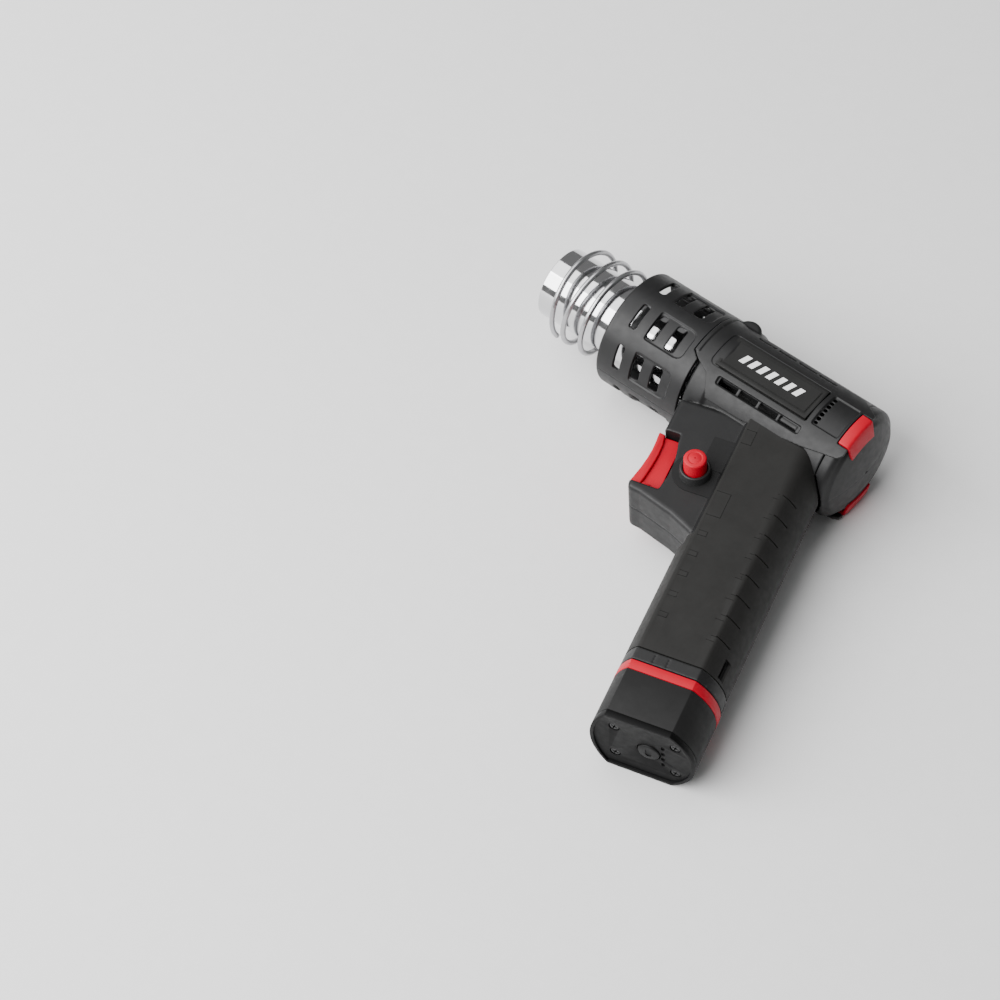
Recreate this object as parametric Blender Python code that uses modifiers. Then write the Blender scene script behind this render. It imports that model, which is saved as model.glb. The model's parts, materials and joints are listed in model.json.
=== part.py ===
"""Cordless heat gun with a slide-in battery pack, built in metres.

The gun lies on its right side: +X runs from the nozzle to the rear of the
barrel, +Y to the top of the gun and +Z out of its left side.  The origin is
under the middle of the bounding box, on the surface the gun lies on.
Lengths below are in millimetres and are scaled to metres when meshes are made.
"""
import math

import bmesh
import bpy
from mathutils import Matrix, Vector

MM = 0.001
MERGE = 0.00001               # metres within which points of a turned or swept body are joined
FLAT_ANGLE = math.radians(0.2)

# ---- driving dimensions (mm) -------------------------------------------------
GAP = 0.3                 # clearance between separate pieces
SPLIT = 0.15              # half of the gap at the mid-plane parting line
HALF_WIDTH = 29.0         # barrel axis to the outer face of each side cover
TUBE_RADIUS = 17.5        # nozzle tube, outside
TUBE_WALL = 0.8
TUBE_FRONT = -43.5
TUBE_REAR = 60.0
COWL_RADIUS = 28.5
COWL_LENGTH = 46.2
COWL_WALL = 2.0
BARREL_RADIUS = 27.0
BARREL_WALL = 2.2
BARREL_FRONT = 46.5
BARREL_REAR = 120.0
CAP_REAR = 131.9
COVER_RADIUS = 28.5           # outer skin of the side covers
PLATE_FLOOR = 25.9            # bottom of the pocket that holds the badge plate
PLATE_FACE = 27.7
GRIP_RAKE = math.radians(16.0)
GRIP_ORIGIN = (84.7, -29.1)   # front crease of the grip, just under the barrel
GRIP_FLAT = 29.0              # front-to-back width of the flat grip side
GRIP_HALF = 20.3              # half thickness over the flat sides
GRIP_FRONT_BULGE = 7.5
GRIP_REAR_BULGE = 11.0
RUBBER = 1.5                  # thickness of the rubber grip covers
GRIP_WALL = 1.7
RUBBER_END = 117.5            # distances down the grip
COLLAR_END = 123.8
BAND_END = 128.9
BATTERY_END = 153.4
WEB_HALF = 15.5               # half thickness of the trigger housing
WEB_WALL = 2.2
TRIGGER_BACK = -24.6          # rear of the trigger's narrow body
TRIGGER_PAD_HALF = 12.2
TRIGGER_BODY_HALF = 10.8
BUTTON_PLACE = (-12.5, 23.9)  # lock bolt axis, across the grip web
BUTTON_RADIUS = 5.15
BUTTON_TOP = 27.0
FAN_X = 106.0
FAN_RADIUS = 15.2
SLOT_ANGLES = (-64.0, -19.5, 26.0, 70.0)   # cowl slot rows, from +Z towards +Y
SLOT_SPAN = 27.0
SLOTS = ((9.3, 13.1), (19.0, 23.5), (29.3, 34.4))
ROUND_STEPS = 32

# The overall box, which sets where the origin falls.
BOX_LOW_X = TUBE_FRONT
BATTERY_REAR = GRIP_FLAT + GRIP_REAR_BULGE
COS_RAKE = math.cos(GRIP_RAKE)
SIN_RAKE = math.sin(GRIP_RAKE)
BOX_HIGH_X = GRIP_ORIGIN[0] + BATTERY_REAR * COS_RAKE + BATTERY_END * SIN_RAKE
BOX_LOW_Y = GRIP_ORIGIN[1] - GRIP_FRONT_BULGE * SIN_RAKE - BATTERY_END * COS_RAKE
HUMP_TOP = 30.5
AXIS_X = -(BOX_LOW_X + BOX_HIGH_X) / 2
AXIS_Y = -(BOX_LOW_Y + HUMP_TOP) / 2

# ---- colours -----------------------------------------------------------------
PLASTIC = ((0.035, 0.035, 0.036), 0.55, 0.0)
DARK = ((0.015, 0.015, 0.016), 0.6, 0.0)
RUBBER_LOOK = ((0.04, 0.04, 0.04), 0.8, 0.0)
RED = ((0.75, 0.03, 0.05), 0.45, 0.0)
CHROME = ((0.75, 0.75, 0.76), 0.12, 1.0)
STEEL = ((0.55, 0.55, 0.56), 0.3, 1.0)
MICA = ((0.55, 0.5, 0.38), 0.7, 0.0)
CERAMIC = ((0.8, 0.78, 0.72), 0.6, 0.0)
BOARD = ((0.03, 0.2, 0.08), 0.5, 0.0)
CELL = ((0.05, 0.25, 0.45), 0.4, 0.0)

# ---- outlines of the trigger housing, in local grip x and y ---------------------
WEB_OUTLINE = ((-34.0, 12.0), (-34.0, -6.2), (-38.4, -36.4), (-37.6, -41.2), (-31.6, -42.2), (-14.9, -47.7),
               (-5.9, -52.0), (-1.5, -54.4), (3.0, -54.8), (3.0, 12.0))
WEB_ROOM = ((-23.7, 12.0), (-23.7, -7.6), (-30.0, -7.6), (-30.0, -36.6), (-23.7, -36.6), (-23.7, -41.9),
            (-14.0, -45.2), (-4.9, -49.6), (3.0, -52.2), (3.0, 12.0))
FINGER_OPENING = ((-50.0, -6.6), (-26.3, -6.9), (-25.7, -11.3), (-24.4, -16.0), (-23.2, -22.8),
                  (-23.2, -29.5), (-24.3, -37.6), (-50.0, -37.0))


# ---- scene and collections ---------------------------------------------------
def clear_scene():
    for item in list(bpy.data.objects):
        bpy.data.objects.remove(item, do_unlink=True)


def new_collection(name):
    collection = bpy.data.collections.new(name)
    bpy.context.scene.collection.children.link(collection)
    return collection


def new_empty(name, parent, place, turn=0.0):
    empty = bpy.data.objects.new(name, None)
    parts.objects.link(empty)
    empty.parent = parent
    empty.location = Vector(place) * MM
    empty.rotation_euler = (0.0, 0.0, turn)
    return empty


clear_scene()
parts = new_collection("heat_gun")
cutters = new_collection("cutters")
gun = new_empty("gun_axes", None, (AXIS_X, AXIS_Y, HALF_WIDTH))
grip = new_empty("grip_axes", gun, (GRIP_ORIGIN[0], GRIP_ORIGIN[1], 0.0), GRIP_RAKE)


# ---- making and combining solids ---------------------------------------------
def new_object(name, mesh, frame, place=(0.0, 0.0, 0.0)):
    item = bpy.data.objects.new(name, mesh)
    parts.objects.link(item)
    item.parent = frame
    item.location = Vector(place) * MM
    return item


def finish_mesh(solid, name):
    bmesh.ops.recalc_face_normals(solid, faces=solid.faces)
    mesh = bpy.data.meshes.new(name)
    solid.to_mesh(mesh)
    solid.free()
    return mesh


def box(name, frame, low, high, place=(0.0, 0.0, 0.0)):
    """A block between two corners, measured from its place."""
    low = Vector(low)
    high = Vector(high)
    size = high - low
    middle = Matrix.Translation((low + high) / 2 * MM)
    stretch = Matrix.Diagonal((size.x * MM, size.y * MM, size.z * MM, 1.0))
    solid = bmesh.new()
    bmesh.ops.create_cube(solid, size=1.0, matrix=middle @ stretch)
    return new_object(name, finish_mesh(solid, name), frame, place)


def rod(name, frame, start, end, radius, place=(0.0, 0.0, 0.0), end_radius=None, steps=ROUND_STEPS):
    """A cylinder or cone between two points, measured from its place."""
    start = Vector(start)
    end = Vector(end)
    run = end - start
    turn = run.to_track_quat("Z", "Y").to_matrix().to_4x4()
    middle = Matrix.Translation((start + end) / 2 * MM)
    far_radius = radius if end_radius is None else end_radius
    solid = bmesh.new()
    bmesh.ops.create_cone(
        solid, cap_ends=True, segments=steps, radius1=radius * MM, radius2=far_radius * MM,
        depth=run.length * MM, matrix=middle @ turn)
    return new_object(name, finish_mesh(solid, name), frame, place)


def curve_mesh(name, curve, spline_points, cyclic):
    """Turn a run of points into a mesh through the curve's own extrusion or bevel."""
    line = curve.splines.new("POLY")
    line.points.add(len(spline_points) - 1)
    for target, point in zip(line.points, spline_points):
        target.co = (*(Vector(point) * MM), 1.0)
    line.use_cyclic_u = cyclic
    holder = bpy.data.objects.new(name + "_curve", curve)
    parts.objects.link(holder)
    evaluated = holder.evaluated_get(bpy.context.evaluated_depsgraph_get())
    mesh = bpy.data.meshes.new_from_object(evaluated)
    bpy.data.objects.remove(holder, do_unlink=True)
    solid = bmesh.new()
    solid.from_mesh(mesh)
    bmesh.ops.remove_doubles(solid, verts=solid.verts, dist=MERGE)
    return solid


def slab(name, frame, outline, low, high, turn=None):
    """A flat outline in x and y, extruded from z = low to z = high."""
    curve = bpy.data.curves.new(name, "CURVE")
    curve.dimensions = "2D"
    curve.fill_mode = "BOTH"
    curve.extrude = (high - low) / 2 * MM
    solid = curve_mesh(name, curve, [(x, y, 0.0) for x, y in outline], True)
    bmesh.ops.dissolve_limit(solid, angle_limit=FLAT_ANGLE, verts=solid.verts, edges=solid.edges)
    bmesh.ops.translate(solid, verts=solid.verts, vec=(0.0, 0.0, (low + high) / 2 * MM))
    if turn is not None:
        bmesh.ops.transform(solid, matrix=turn, verts=solid.verts)
    return new_object(name, finish_mesh(solid, name), frame)


def turned(name, frame, profile, steps=ROUND_STEPS):
    """A body turned about X from (x, radius) points whose outer side runs front to rear.

    The outline closes on itself unless it starts and ends on the axis.
    """
    corners = [(radius * MM, 0.0, x * MM) for x, radius in reversed(profile)]
    edges = [(index, index + 1) for index in range(len(corners) - 1)]
    if profile[0][1] > 0:
        edges.append((len(corners) - 1, 0))
    mesh = bpy.data.meshes.new(name)
    mesh.from_pydata(corners, edges, [])
    item = new_object(name, mesh, frame)
    item.rotation_euler = (0.0, math.pi / 2, 0.0)
    screw = item.modifiers.new("turn", "SCREW")
    screw.axis = "Z"
    screw.steps = steps
    screw.render_steps = steps
    screw.use_merge_vertices = True
    screw.merge_threshold = MERGE
    screw.use_smooth_shade = True
    return item


def wire(name, frame, points, radius):
    """A round wire along a list of points, with closed ends."""
    curve = bpy.data.curves.new(name, "CURVE")
    curve.dimensions = "3D"
    curve.bevel_depth = radius * MM
    curve.bevel_resolution = 2
    curve.use_fill_caps = True
    solid = curve_mesh(name, curve, points, False)
    return new_object(name, finish_mesh(solid, name), frame)


def helix(centre, along, side, radius, pitch, turns, steps_per_turn):
    """Points of a coil that starts at centre + radius * side and advances along its axis."""
    centre = Vector(centre)
    along = Vector(along)
    side = Vector(side)
    across = along.cross(side)
    count = int(turns * steps_per_turn)
    points = []
    for step in range(count + 1):
        angle = 2 * math.pi * step / steps_per_turn
        rise = pitch * step / steps_per_turn
        points.append(centre + along * rise + radius * (math.cos(angle) * side + math.sin(angle) * across))
    return points


def combine(target, operands, operation):
    for operand in operands:
        modifier = target.modifiers.new(operation.lower(), "BOOLEAN")
        modifier.operation = operation
        modifier.solver = "EXACT"
        modifier.object = operand
        if operand.name in parts.objects:
            parts.objects.unlink(operand)
            cutters.objects.link(operand)
        operand.hide_render = True
        operand.display_type = "WIRE"
    return target


def cut(target, *operands):
    return combine(target, operands, "DIFFERENCE")


def join(target, *operands):
    return combine(target, operands, "UNION")


def keep(target, *operands):
    return combine(target, operands, "INTERSECT")


def soften(target, width, segments=1):
    bevel = target.modifiers.new("edges", "BEVEL")
    bevel.width = width * MM
    bevel.segments = segments
    bevel.limit_method = "ANGLE"
    bevel.angle_limit = math.radians(40.0)
    return target


def finish(item, look):
    """Give a sub-part its material and smooth its round faces."""
    colour, roughness, metallic = look
    material = bpy.data.materials.new(item.name)
    material.use_nodes = True
    shader = material.node_tree.nodes["Principled BSDF"]
    shader.inputs["Base Color"].default_value = (*colour, 1.0)
    shader.inputs["Roughness"].default_value = roughness
    shader.inputs["Metallic"].default_value = metallic
    item.data.materials.append(material)
    item.data.shade_smooth()
    item.data.set_sharp_from_angle(angle=math.radians(30.0))
    return item


# ---- outlines ----------------------------------------------------------------
def arc(centre, radius, start, end, steps):
    """Points on a circle arc, angles in degrees."""
    points = []
    for step in range(steps + 1):
        angle = math.radians(start + (end - start) * step / steps)
        points.append((centre[0] + radius * math.cos(angle), centre[1] + radius * math.sin(angle)))
    return points


def bulge(start, end, depth, steps):
    """Points strictly between two corners on the arc that bows out to their right by depth."""
    start = Vector(start)
    end = Vector(end)
    half = (end - start).length / 2
    radius = (half * half + depth * depth) / (2 * depth)
    along = (end - start).normalized()
    out = Vector((along.y, -along.x))
    centre = (start + end) / 2 - out * (radius - depth)
    spread = math.asin(half / radius)
    points = []
    for step in range(1, steps):
        angle = -spread + 2 * spread * step / steps
        points.append(tuple(centre + radius * (out * math.cos(angle) + along * math.sin(angle))))
    return points


def grip_section(inset, side):
    """Half of the grip's cross-section in (across the mid-plane, front to back).

    The outline runs along the parting plane and round one side: front bulge,
    flat side and rear bulge, all moved in by the inset.
    """
    half = GRIP_HALF - inset
    front = (0.0, half)
    rear = (GRIP_FLAT, half)
    front_arc = bulge((0.0, half), (0.0, -half), GRIP_FRONT_BULGE - inset, 12)
    rear_arc = bulge((GRIP_FLAT, -half), (GRIP_FLAT, half), GRIP_REAR_BULGE - inset, 16)
    front_side = [(p, z) for p, z in front_arc if z > SPLIT + 0.1]
    rear_side = [(p, z) for p, z in rear_arc if z > SPLIT + 0.1]
    outline = [(GRIP_FLAT + GRIP_REAR_BULGE - inset, SPLIT)] + rear_side + [rear, front] + front_side
    outline.append((inset - GRIP_FRONT_BULGE, SPLIT))
    return [(p, z * side) for p, z in outline]


def full_section(inset):
    """The whole cross-section of the grip or battery as (front to back, across)."""
    half = GRIP_HALF - inset
    outline = [(0.0, half)]
    outline += bulge((0.0, half), (0.0, -half), GRIP_FRONT_BULGE - inset, 12)
    outline += [(0.0, -half), (GRIP_FLAT, -half)]
    outline += bulge((GRIP_FLAT, -half), (GRIP_FLAT, half), GRIP_REAR_BULGE - inset, 16)
    outline.append((GRIP_FLAT, half))
    return outline


# Grip frame: local x is front to back, local -y runs down the grip, local z is the gun's left.
ALONG_GRIP = Matrix(((1, 0, 0, 0), (0, 0, 1, 0), (0, 1, 0, 0), (0, 0, 0, 1)))


def along_grip(name, outline, start, end):
    """Extrude a (front to back, across) outline down the grip from start to end."""
    return slab(name, grip, outline, -end, -start, ALONG_GRIP)


def at(p, q, z=0.0):
    """Grip-frame point from front-to-back, down-the-grip and sideways distances."""
    return (p, -q, z)


def grip_box(name, low, high):
    """A block between two (front to back, down, across) corners in the grip frame."""
    return box(name, grip, (low[0], -high[1], low[2]), (high[0], -low[1], high[2]))


def mirrored(low, high, side):
    """A z range on either side of the mid-plane."""
    return (low, high) if side > 0 else (-high, -low)


# ---- housing -----------------------------------------------------------------
SCREWS = ((-19.0, 41.3), (-4.5, 45.5))          # in the grip frame, down the grip
BARREL_SCREWS = ((64.5, 20.6), (111.0, 20.6))   # in the gun frame
BOSS_RADIUS = 3.4
SEAT_FACE = -17.5                               # wall that the trigger spring pushes on
WINDOW_TOP = 106.3                              # latch window, down the grip
WINDOW_END = 116.0
WINDOW_SIDE = (10.8, 14.4)
PLATE = ((54.3, -9.6), (104.2, 8.6))
RECESS = ((51.9, -10.1), (104.9, 9.1))
SCREW_RADIUS = 1.2
HEAD_RADIUS = 2.6


def side_rod(name, frame, place, side, low, high, radius, steps=20):
    """A rod across the gun on one side, between two distances from the mid-plane."""
    return rod(name, frame, (place[0], place[1], side * low), (place[0], place[1], side * high),
               radius, steps=steps)


def shell(name, side):
    """One half of the housing: barrel, grip core, trigger housing and collar."""
    body = rod(name, gun, (BARREL_FRONT, 0, 0), (BARREL_REAR, 0, 0), BARREL_RADIUS)
    hump = rod(name + "_hump", gun, (52.5, 20.3, 0), (66.0, 20.3, 0), HUMP_TOP - 20.3,
               end_radius=8.5, steps=24)
    web = slab(name + "_web", grip, WEB_OUTLINE, -WEB_HALF, WEB_HALF)
    core = along_grip(name + "_core", full_section(RUBBER), -8.0, COLLAR_END - 1.0)
    collar = along_grip(name + "_collar", full_section(0.0), RUBBER_END + GAP, COLLAR_END)
    join(body, hump, web, core, collar)
    hollow = rod(name + "_hollow", gun, (BARREL_FRONT - 1, 0, 0), (BARREL_REAR + 1, 0, 0),
                 BARREL_RADIUS - BARREL_WALL)
    inner = WEB_HALF - WEB_WALL
    room = slab(name + "_room", grip, WEB_ROOM, -inner, inner)
    opening = slab(name + "_opening", grip, FINGER_OPENING, -20.0, 20.0)
    socket = along_grip(name + "_socket", full_section(RUBBER + GRIP_WALL), -12.0, COLLAR_END + 1)
    cut(body, hollow, room, socket, opening)
    places = [(grip, p, -q) for p, q in SCREWS] + [(gun, x, y) for x, y in BARREL_SCREWS]
    for number, (frame, x, y) in enumerate(places):
        reach = 14.4 if frame is grip else 18.0
        boss = rod(f"{name}_boss_{number}", frame, (x, y, -reach), (x, y, reach), BOSS_RADIUS, steps=20)
        if frame is gun:
            limit = rod(f"{name}_boss_limit_{number}", gun, (x - 8, 0, 0), (x + 8, 0, 0), BARREL_RADIUS - 0.6)
            keep(boss, limit)
        join(body, boss)
    join(body, grip_box(name + "_seat", (SEAT_FACE, 6.0, -14.0), (SEAT_FACE + 2.2, 17.0, 14.0)))
    for number, (frame, x, y) in enumerate(places):
        start = (x, y, -30.0)
        cut(body, rod(f"{name}_bore_{number}", frame, start, (x, y, 11.0), SCREW_RADIUS + GAP, steps=16))
        cut(body, rod(f"{name}_sink_{number}", frame, start, (x, y, -11.7), HEAD_RADIUS + GAP, steps=20))
    cut(body, rod(name + "_button_hole", grip, at(*BUTTON_PLACE, -30), at(*BUTTON_PLACE, 30),
                  BUTTON_RADIUS + GAP, steps=32))
    low, high = mirrored(15.0, 40.0, side)
    cut(body, box(name + "_vent", gun, (60.0, -16.6, low), (105.0, -12.6, high)))
    cut(body, box(name + "_high_vent", gun, (60.0, 13.8, low), (105.0, 16.6, high)))
    cut(body, box(name + "_rear_vent", gun, (107.6, -8.8, low), (110.0, 7.8, high)))
    low, high = mirrored(PLATE_FLOOR, 40.0, side)
    cut(body, box(name + "_plate_floor", gun, (*RECESS[0], low), (*RECESS[1], high)))
    low, high = mirrored(*WINDOW_SIDE, side)
    cut(body, grip_box(name + "_latch_window", (30.0, WINDOW_TOP, low), (45.0, WINDOW_END, high)))
    low, high = mirrored(-60.0, SPLIT, side)
    cut(body, box(name + "_away", gun, (0, -200, low), (200, 60, high)))
    return finish(body, PLASTIC)


shell("left_shell", 1)
shell("right_shell", -1)


def button_collar(name, side):
    """Raised ring round the lock bolt, glued into the trigger housing."""
    place = (BUTTON_PLACE[0], -BUTTON_PLACE[1])
    ring = side_rod(name, grip, place, side, WEB_HALF + GAP, 20.0, 7.4, steps=32)
    hole = side_rod(name + "_hole", grip, place, side, WEB_HALF - 1, 22.0, BUTTON_RADIUS + GAP, steps=32)
    cut(ring, hole)
    return finish(ring, PLASTIC)


button_collar("left_button_collar", 1)
button_collar("right_button_collar", -1)


def grip_cover(name, side):
    """Rubber cover over one half of the grip, from the barrel to the collar."""
    cover = along_grip(name, grip_section(0.0, side), -8.6, RUBBER_END)
    core = along_grip(name + "_core", full_section(RUBBER - GAP), -20.0, RUBBER_END + 5)
    barrel = rod(name + "_barrel", gun, (0, 0, 0), (200, 0, 0), BARREL_RADIUS + GAP, steps=48)
    web = grip_box(name + "_web", (-40.0, -30.0, -WEB_HALF - GAP), (3.0, 56.0, WEB_HALF + GAP))
    nose = grip_box(name + "_nose", (-40.0, -30.0, -40.0), (0.01, 56.0, 40.0))
    low, high = mirrored(WINDOW_SIDE[0] - 0.3, WINDOW_SIDE[1] + 0.3, side)
    window = grip_box(name + "_window", (30.0, WINDOW_TOP - 0.3, low), (45.0, WINDOW_END + 0.3, high))
    cut(cover, core, barrel, web, nose, window)
    return finish(cover, RUBBER_LOOK)


grip_cover("left_grip_cover", 1)
grip_cover("right_grip_cover", -1)

COVER_OUTLINE = ((42.6, 19.8), (42.6, -8.8), (46.4, -11.6), (53.2, -14.6), (58.3, -22.4), (77.0, -22.4),
                 (109.0, -19.2), (126.3, -16.2), (128.2, -14.2), (128.2, -11.0), (122.6, -11.0), (122.6, 8.0),
                 (127.6, 8.0), (127.6, 10.5), (117.0, 17.6), (52.0, 17.8), (49.0, 19.8))
COWL_ARCH = ((42.3, 20.3), (42.3, -9.0), (46.5, -12.1), (50.0, -12.1), (50.0, 20.3))


def side_cover(name, side):
    """Skin over the side of the barrel with its front rim, plate recess and vent windows."""
    inner = BARREL_RADIUS + GAP
    profile = ((42.0, inner), (42.0, HALF_WIDTH), (44.7, HALF_WIDTH), (44.9, COVER_RADIUS),
               (130.0, COVER_RADIUS), (130.0, inner))
    cover = turned(name, gun, profile, steps=48)
    low, high = mirrored(5.0, 40.0, side)
    keep(cover, slab(name + "_outline", gun, COVER_OUTLINE, low, high))
    cut(cover, box(name + "_recess", gun, (*RECESS[0], low), (*RECESS[1], high)))
    for number in range(4):
        start = 60.8 + number * 11.0
        cut(cover, box(f"{name}_window_{number}", gun, (start, -16.0, low), (start + 9.4, -13.2, high)))
        cut(cover, box(f"{name}_slot_{number}", gun, (start, 14.6, low), (start + 9.4, 16.0, high)))
    cut(cover, box(name + "_vent", gun, (108.0, -8.6, low), (109.7, 7.6, high)))
    cut(cover, along_grip(name + "_grip", full_section(-GAP), -9.0, 60.0))
    return finish(cover, PLASTIC)


def label_plate(name, side):
    """Blank badge plate that stands in the recess of the side cover."""
    low, high = mirrored(PLATE_FLOOR + GAP, PLATE_FACE, side)
    plate = box(name, gun, (*PLATE[0], low), (*PLATE[1], high))
    return finish(soften(plate, 0.35), DARK)


def red_tab(name, side):
    """Red trim that folds over the rear corner of the side cover."""
    profile = ((122.9, BARREL_RADIUS + GAP), (122.9, COVER_RADIUS), (127.4, 28.3), (128.5, 27.4),
               (129.1, 24.5), (130.3, 19.3), (129.75, 19.3), (128.65, 23.1), (127.35, 24.9), (126.3, 26.3),
               (124.2, BARREL_RADIUS + GAP))
    tab = turned(name, gun, profile, steps=48)
    low, high = mirrored(10.0, 40.0, side)
    keep(tab, box(name + "_span", gun, (120.0, -10.5, low), (135.0, 7.5, high)))
    return finish(tab, RED)


def rear_cap():
    """Thin domed end of the barrel with a rounded rim."""
    wall = 2.0
    rim = 3.4
    outer = [(BARREL_REAR + GAP, BARREL_RADIUS)]
    for angle in (0, 24, 48, 72):
        lean = math.radians(angle)
        outer.append((123.6 + rim * math.sin(lean), BARREL_RADIUS - rim * (1 - math.cos(lean))))
    for radius in (23.0, 16.0, 8.0, 0.0):
        outer.append((CAP_REAR - 0.0068 * radius * radius, radius))
    inner = [(x - wall, max(0.0, radius - wall)) for x, radius in reversed(outer[1:])]
    profile = inner + [(BARREL_REAR + GAP, BARREL_RADIUS - wall)] + outer
    cap = turned("rear_cap", gun, profile)
    cut(cap, along_grip("cap_grip", full_section(-GAP), -9.0, 60.0))
    return finish(cap, DARK)


for title, direction in (("left", 1), ("right", -1)):
    side_cover(f"{title}_side_cover", direction)
    label_plate(f"{title}_label_plate", direction)
    red_tab(f"{title}_red_tab", direction)
rear_cap()


def cowl(name, side):
    """One half of the slotted guard round the hot end."""
    inner = COWL_RADIUS - COWL_WALL
    sleeve = turned(name, gun, ((0.0, inner), (0.0, COWL_RADIUS), (COWL_LENGTH, COWL_RADIUS),
                                (COWL_LENGTH, inner)))
    low, high = mirrored(-60.0, SPLIT, side)
    away = box(name + "_away", gun, (-5, -60, low), (COWL_LENGTH + 5, 60, high))
    low, high = mirrored(5.0, 40.0, side)
    cut(sleeve, away, slab(name + "_arch", gun, COWL_ARCH, low, high))
    for row, centre in enumerate(SLOT_ANGLES):
        for number, (start, end) in enumerate(SLOTS):
            wedge = [(0.0, 0.0)]
            wedge += arc((0.0, 0.0), 40.0, centre - SLOT_SPAN / 2, centre + SLOT_SPAN / 2, 2)
            turn = Matrix(((0, 0, 1, 0), (0, 1, 0, 0), (side, 0, 0, 0), (0, 0, 0, 1)))
            slot = slab(f"{name}_slot_{row}_{number}", gun, wedge, start, end, turn=turn)
            cut(sleeve, slot)
    return finish(sleeve, PLASTIC)


cowl("left_cowl", 1)
cowl("right_cowl", -1)


# ---- hot end -----------------------------------------------------------------
def ring(name, start, end, outer, inner, look, steps=ROUND_STEPS):
    profile = ((start, inner), (start, outer), (end, outer), (end, inner))
    return finish(turned(name, gun, profile, steps=steps), look)


ring("nozzle_tube", TUBE_FRONT, TUBE_REAR, TUBE_RADIUS, TUBE_RADIUS - TUBE_WALL, CHROME)
ring("mica_sleeve", -8.0, 58.0, 16.3, 15.8, MICA, steps=32)

GUARD_RADIUS = 22.3
GUARD_WIRE = 1.25
GUARD_PITCH = 9.9
GUARD_START = -115            # degrees round the tube, from +Z towards +Y
GUARD_END = 905
GUARD_STEP = 22.5


def guard_coil():
    """Wire guard that keeps work and fingers off the hot tube."""
    points = []
    for step in range(int((GUARD_END - GUARD_START) / GUARD_STEP) + 1):
        degrees = GUARD_START + GUARD_STEP * step
        angle = math.radians(degrees)
        x = -32.3 + GUARD_PITCH * max(0.0, degrees) / 360
        points.append((x, GUARD_RADIUS * math.sin(angle), GUARD_RADIUS * math.cos(angle)))
    tail_x, tail_y, tail_z = points[-1]
    for reach in (4.0, 17.0):
        points.append((tail_x + reach, tail_y, tail_z))
    return finish(wire("guard_coil", gun, points, GUARD_WIRE), STEEL)


guard_coil()


def heater():
    """Ceramic former with lengthwise holes, and the wire coil wound round it."""
    former = rod("heater_former", gun, (4.0, 0, 0), (56.0, 0, 0), 7.0, steps=24)
    for number in range(6):
        angle = math.radians(60.0 * number)
        y = 4.2 * math.sin(angle)
        z = 4.2 * math.cos(angle)
        cut(former, rod(f"former_hole_{number}", gun, (0, y, z), (60, y, z), 1.3, steps=10))
    finish(former, CERAMIC)
    points = helix((8.0, 0, 0), (1, 0, 0), (0, 0, 1), 10.5, 8.0, 5, 8)
    finish(wire("heater_coil", gun, points, 0.7), STEEL)


heater()


# ---- fan and motor -----------------------------------------------------------
def fan():
    """Centrifugal impeller on the motor shaft."""
    hub = rod("fan_impeller", gun, (-5.0, 0, 0), (5.0, 0, 0), 6.0, place=(FAN_X, 0, 0), steps=24)
    disc = rod("fan_disc", gun, (3.0, 0, 0), (4.6, 0, 0), FAN_RADIUS, place=(FAN_X, 0, 0), steps=36)
    join(hub, disc)
    for number in range(7):
        tip = (3.5, FAN_RADIUS - 0.5, 0.6)
        blade = box(f"fan_blade_{number}", gun, (-4.0, 5.0, -0.6), tip, (FAN_X, 0, 0))
        blade.rotation_euler = (2 * math.pi * number / 7, 0.0, 0.0)
        join(hub, blade)
    cut(hub, rod("fan_bore", gun, (-10, 0, 0), (10, 0, 0), 1.5 + GAP, place=(FAN_X, 0, 0), steps=16))
    finish(hub, DARK)
    finish(rod("motor_shaft", gun, (-11.0, 0, 0), (6.5, 0, 0), 1.5, place=(FAN_X, 0, 0), steps=16), STEEL)


fan()


def motor():
    """Motor can with a cleared shaft bore, and the duct with arms that hold it."""
    can = rod("motor_can", gun, (70.0, 0, 0), (98.0, 0, 0), 11.0, steps=32)
    cut(can, rod("motor_bore", gun, (93.0, 0, 0), (100.0, 0, 0), 1.5 + GAP, steps=16))
    finish(can, STEEL)
    duct = turned("fan_duct", gun, ((62.0, 14.5), (62.0, 16.0), (70.0, 16.8), (114.0, 16.8), (114.0, 15.8),
                                    (74.0, 15.8)))
    for number in range(4):
        arm = box(f"duct_arm_{number}", gun, (76.0, 11.4, -1.2), (90.0, 16.4, 1.2))
        arm.rotation_euler = (math.pi / 4 + math.pi / 2 * number, 0.0, 0.0)
        join(duct, arm)
    finish(duct, DARK)


motor()
finish(rod("thermal_fuse", gun, (60.8, 0, 0), (67.5, 0, 0), 2.0, place=(0, 8.0, 0), steps=16), CERAMIC)
finish(box("control_board", gun, (64.0, -21.6, -9.0), (100.0, -20.0, 9.0)), BOARD)


# ---- trigger, lock bolt and switch -------------------------------------------
SPRING_Q = 12.0
SPRING_RADIUS = 2.6
PLUNGER_Q = 33.1
PULL = 4.5


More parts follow.
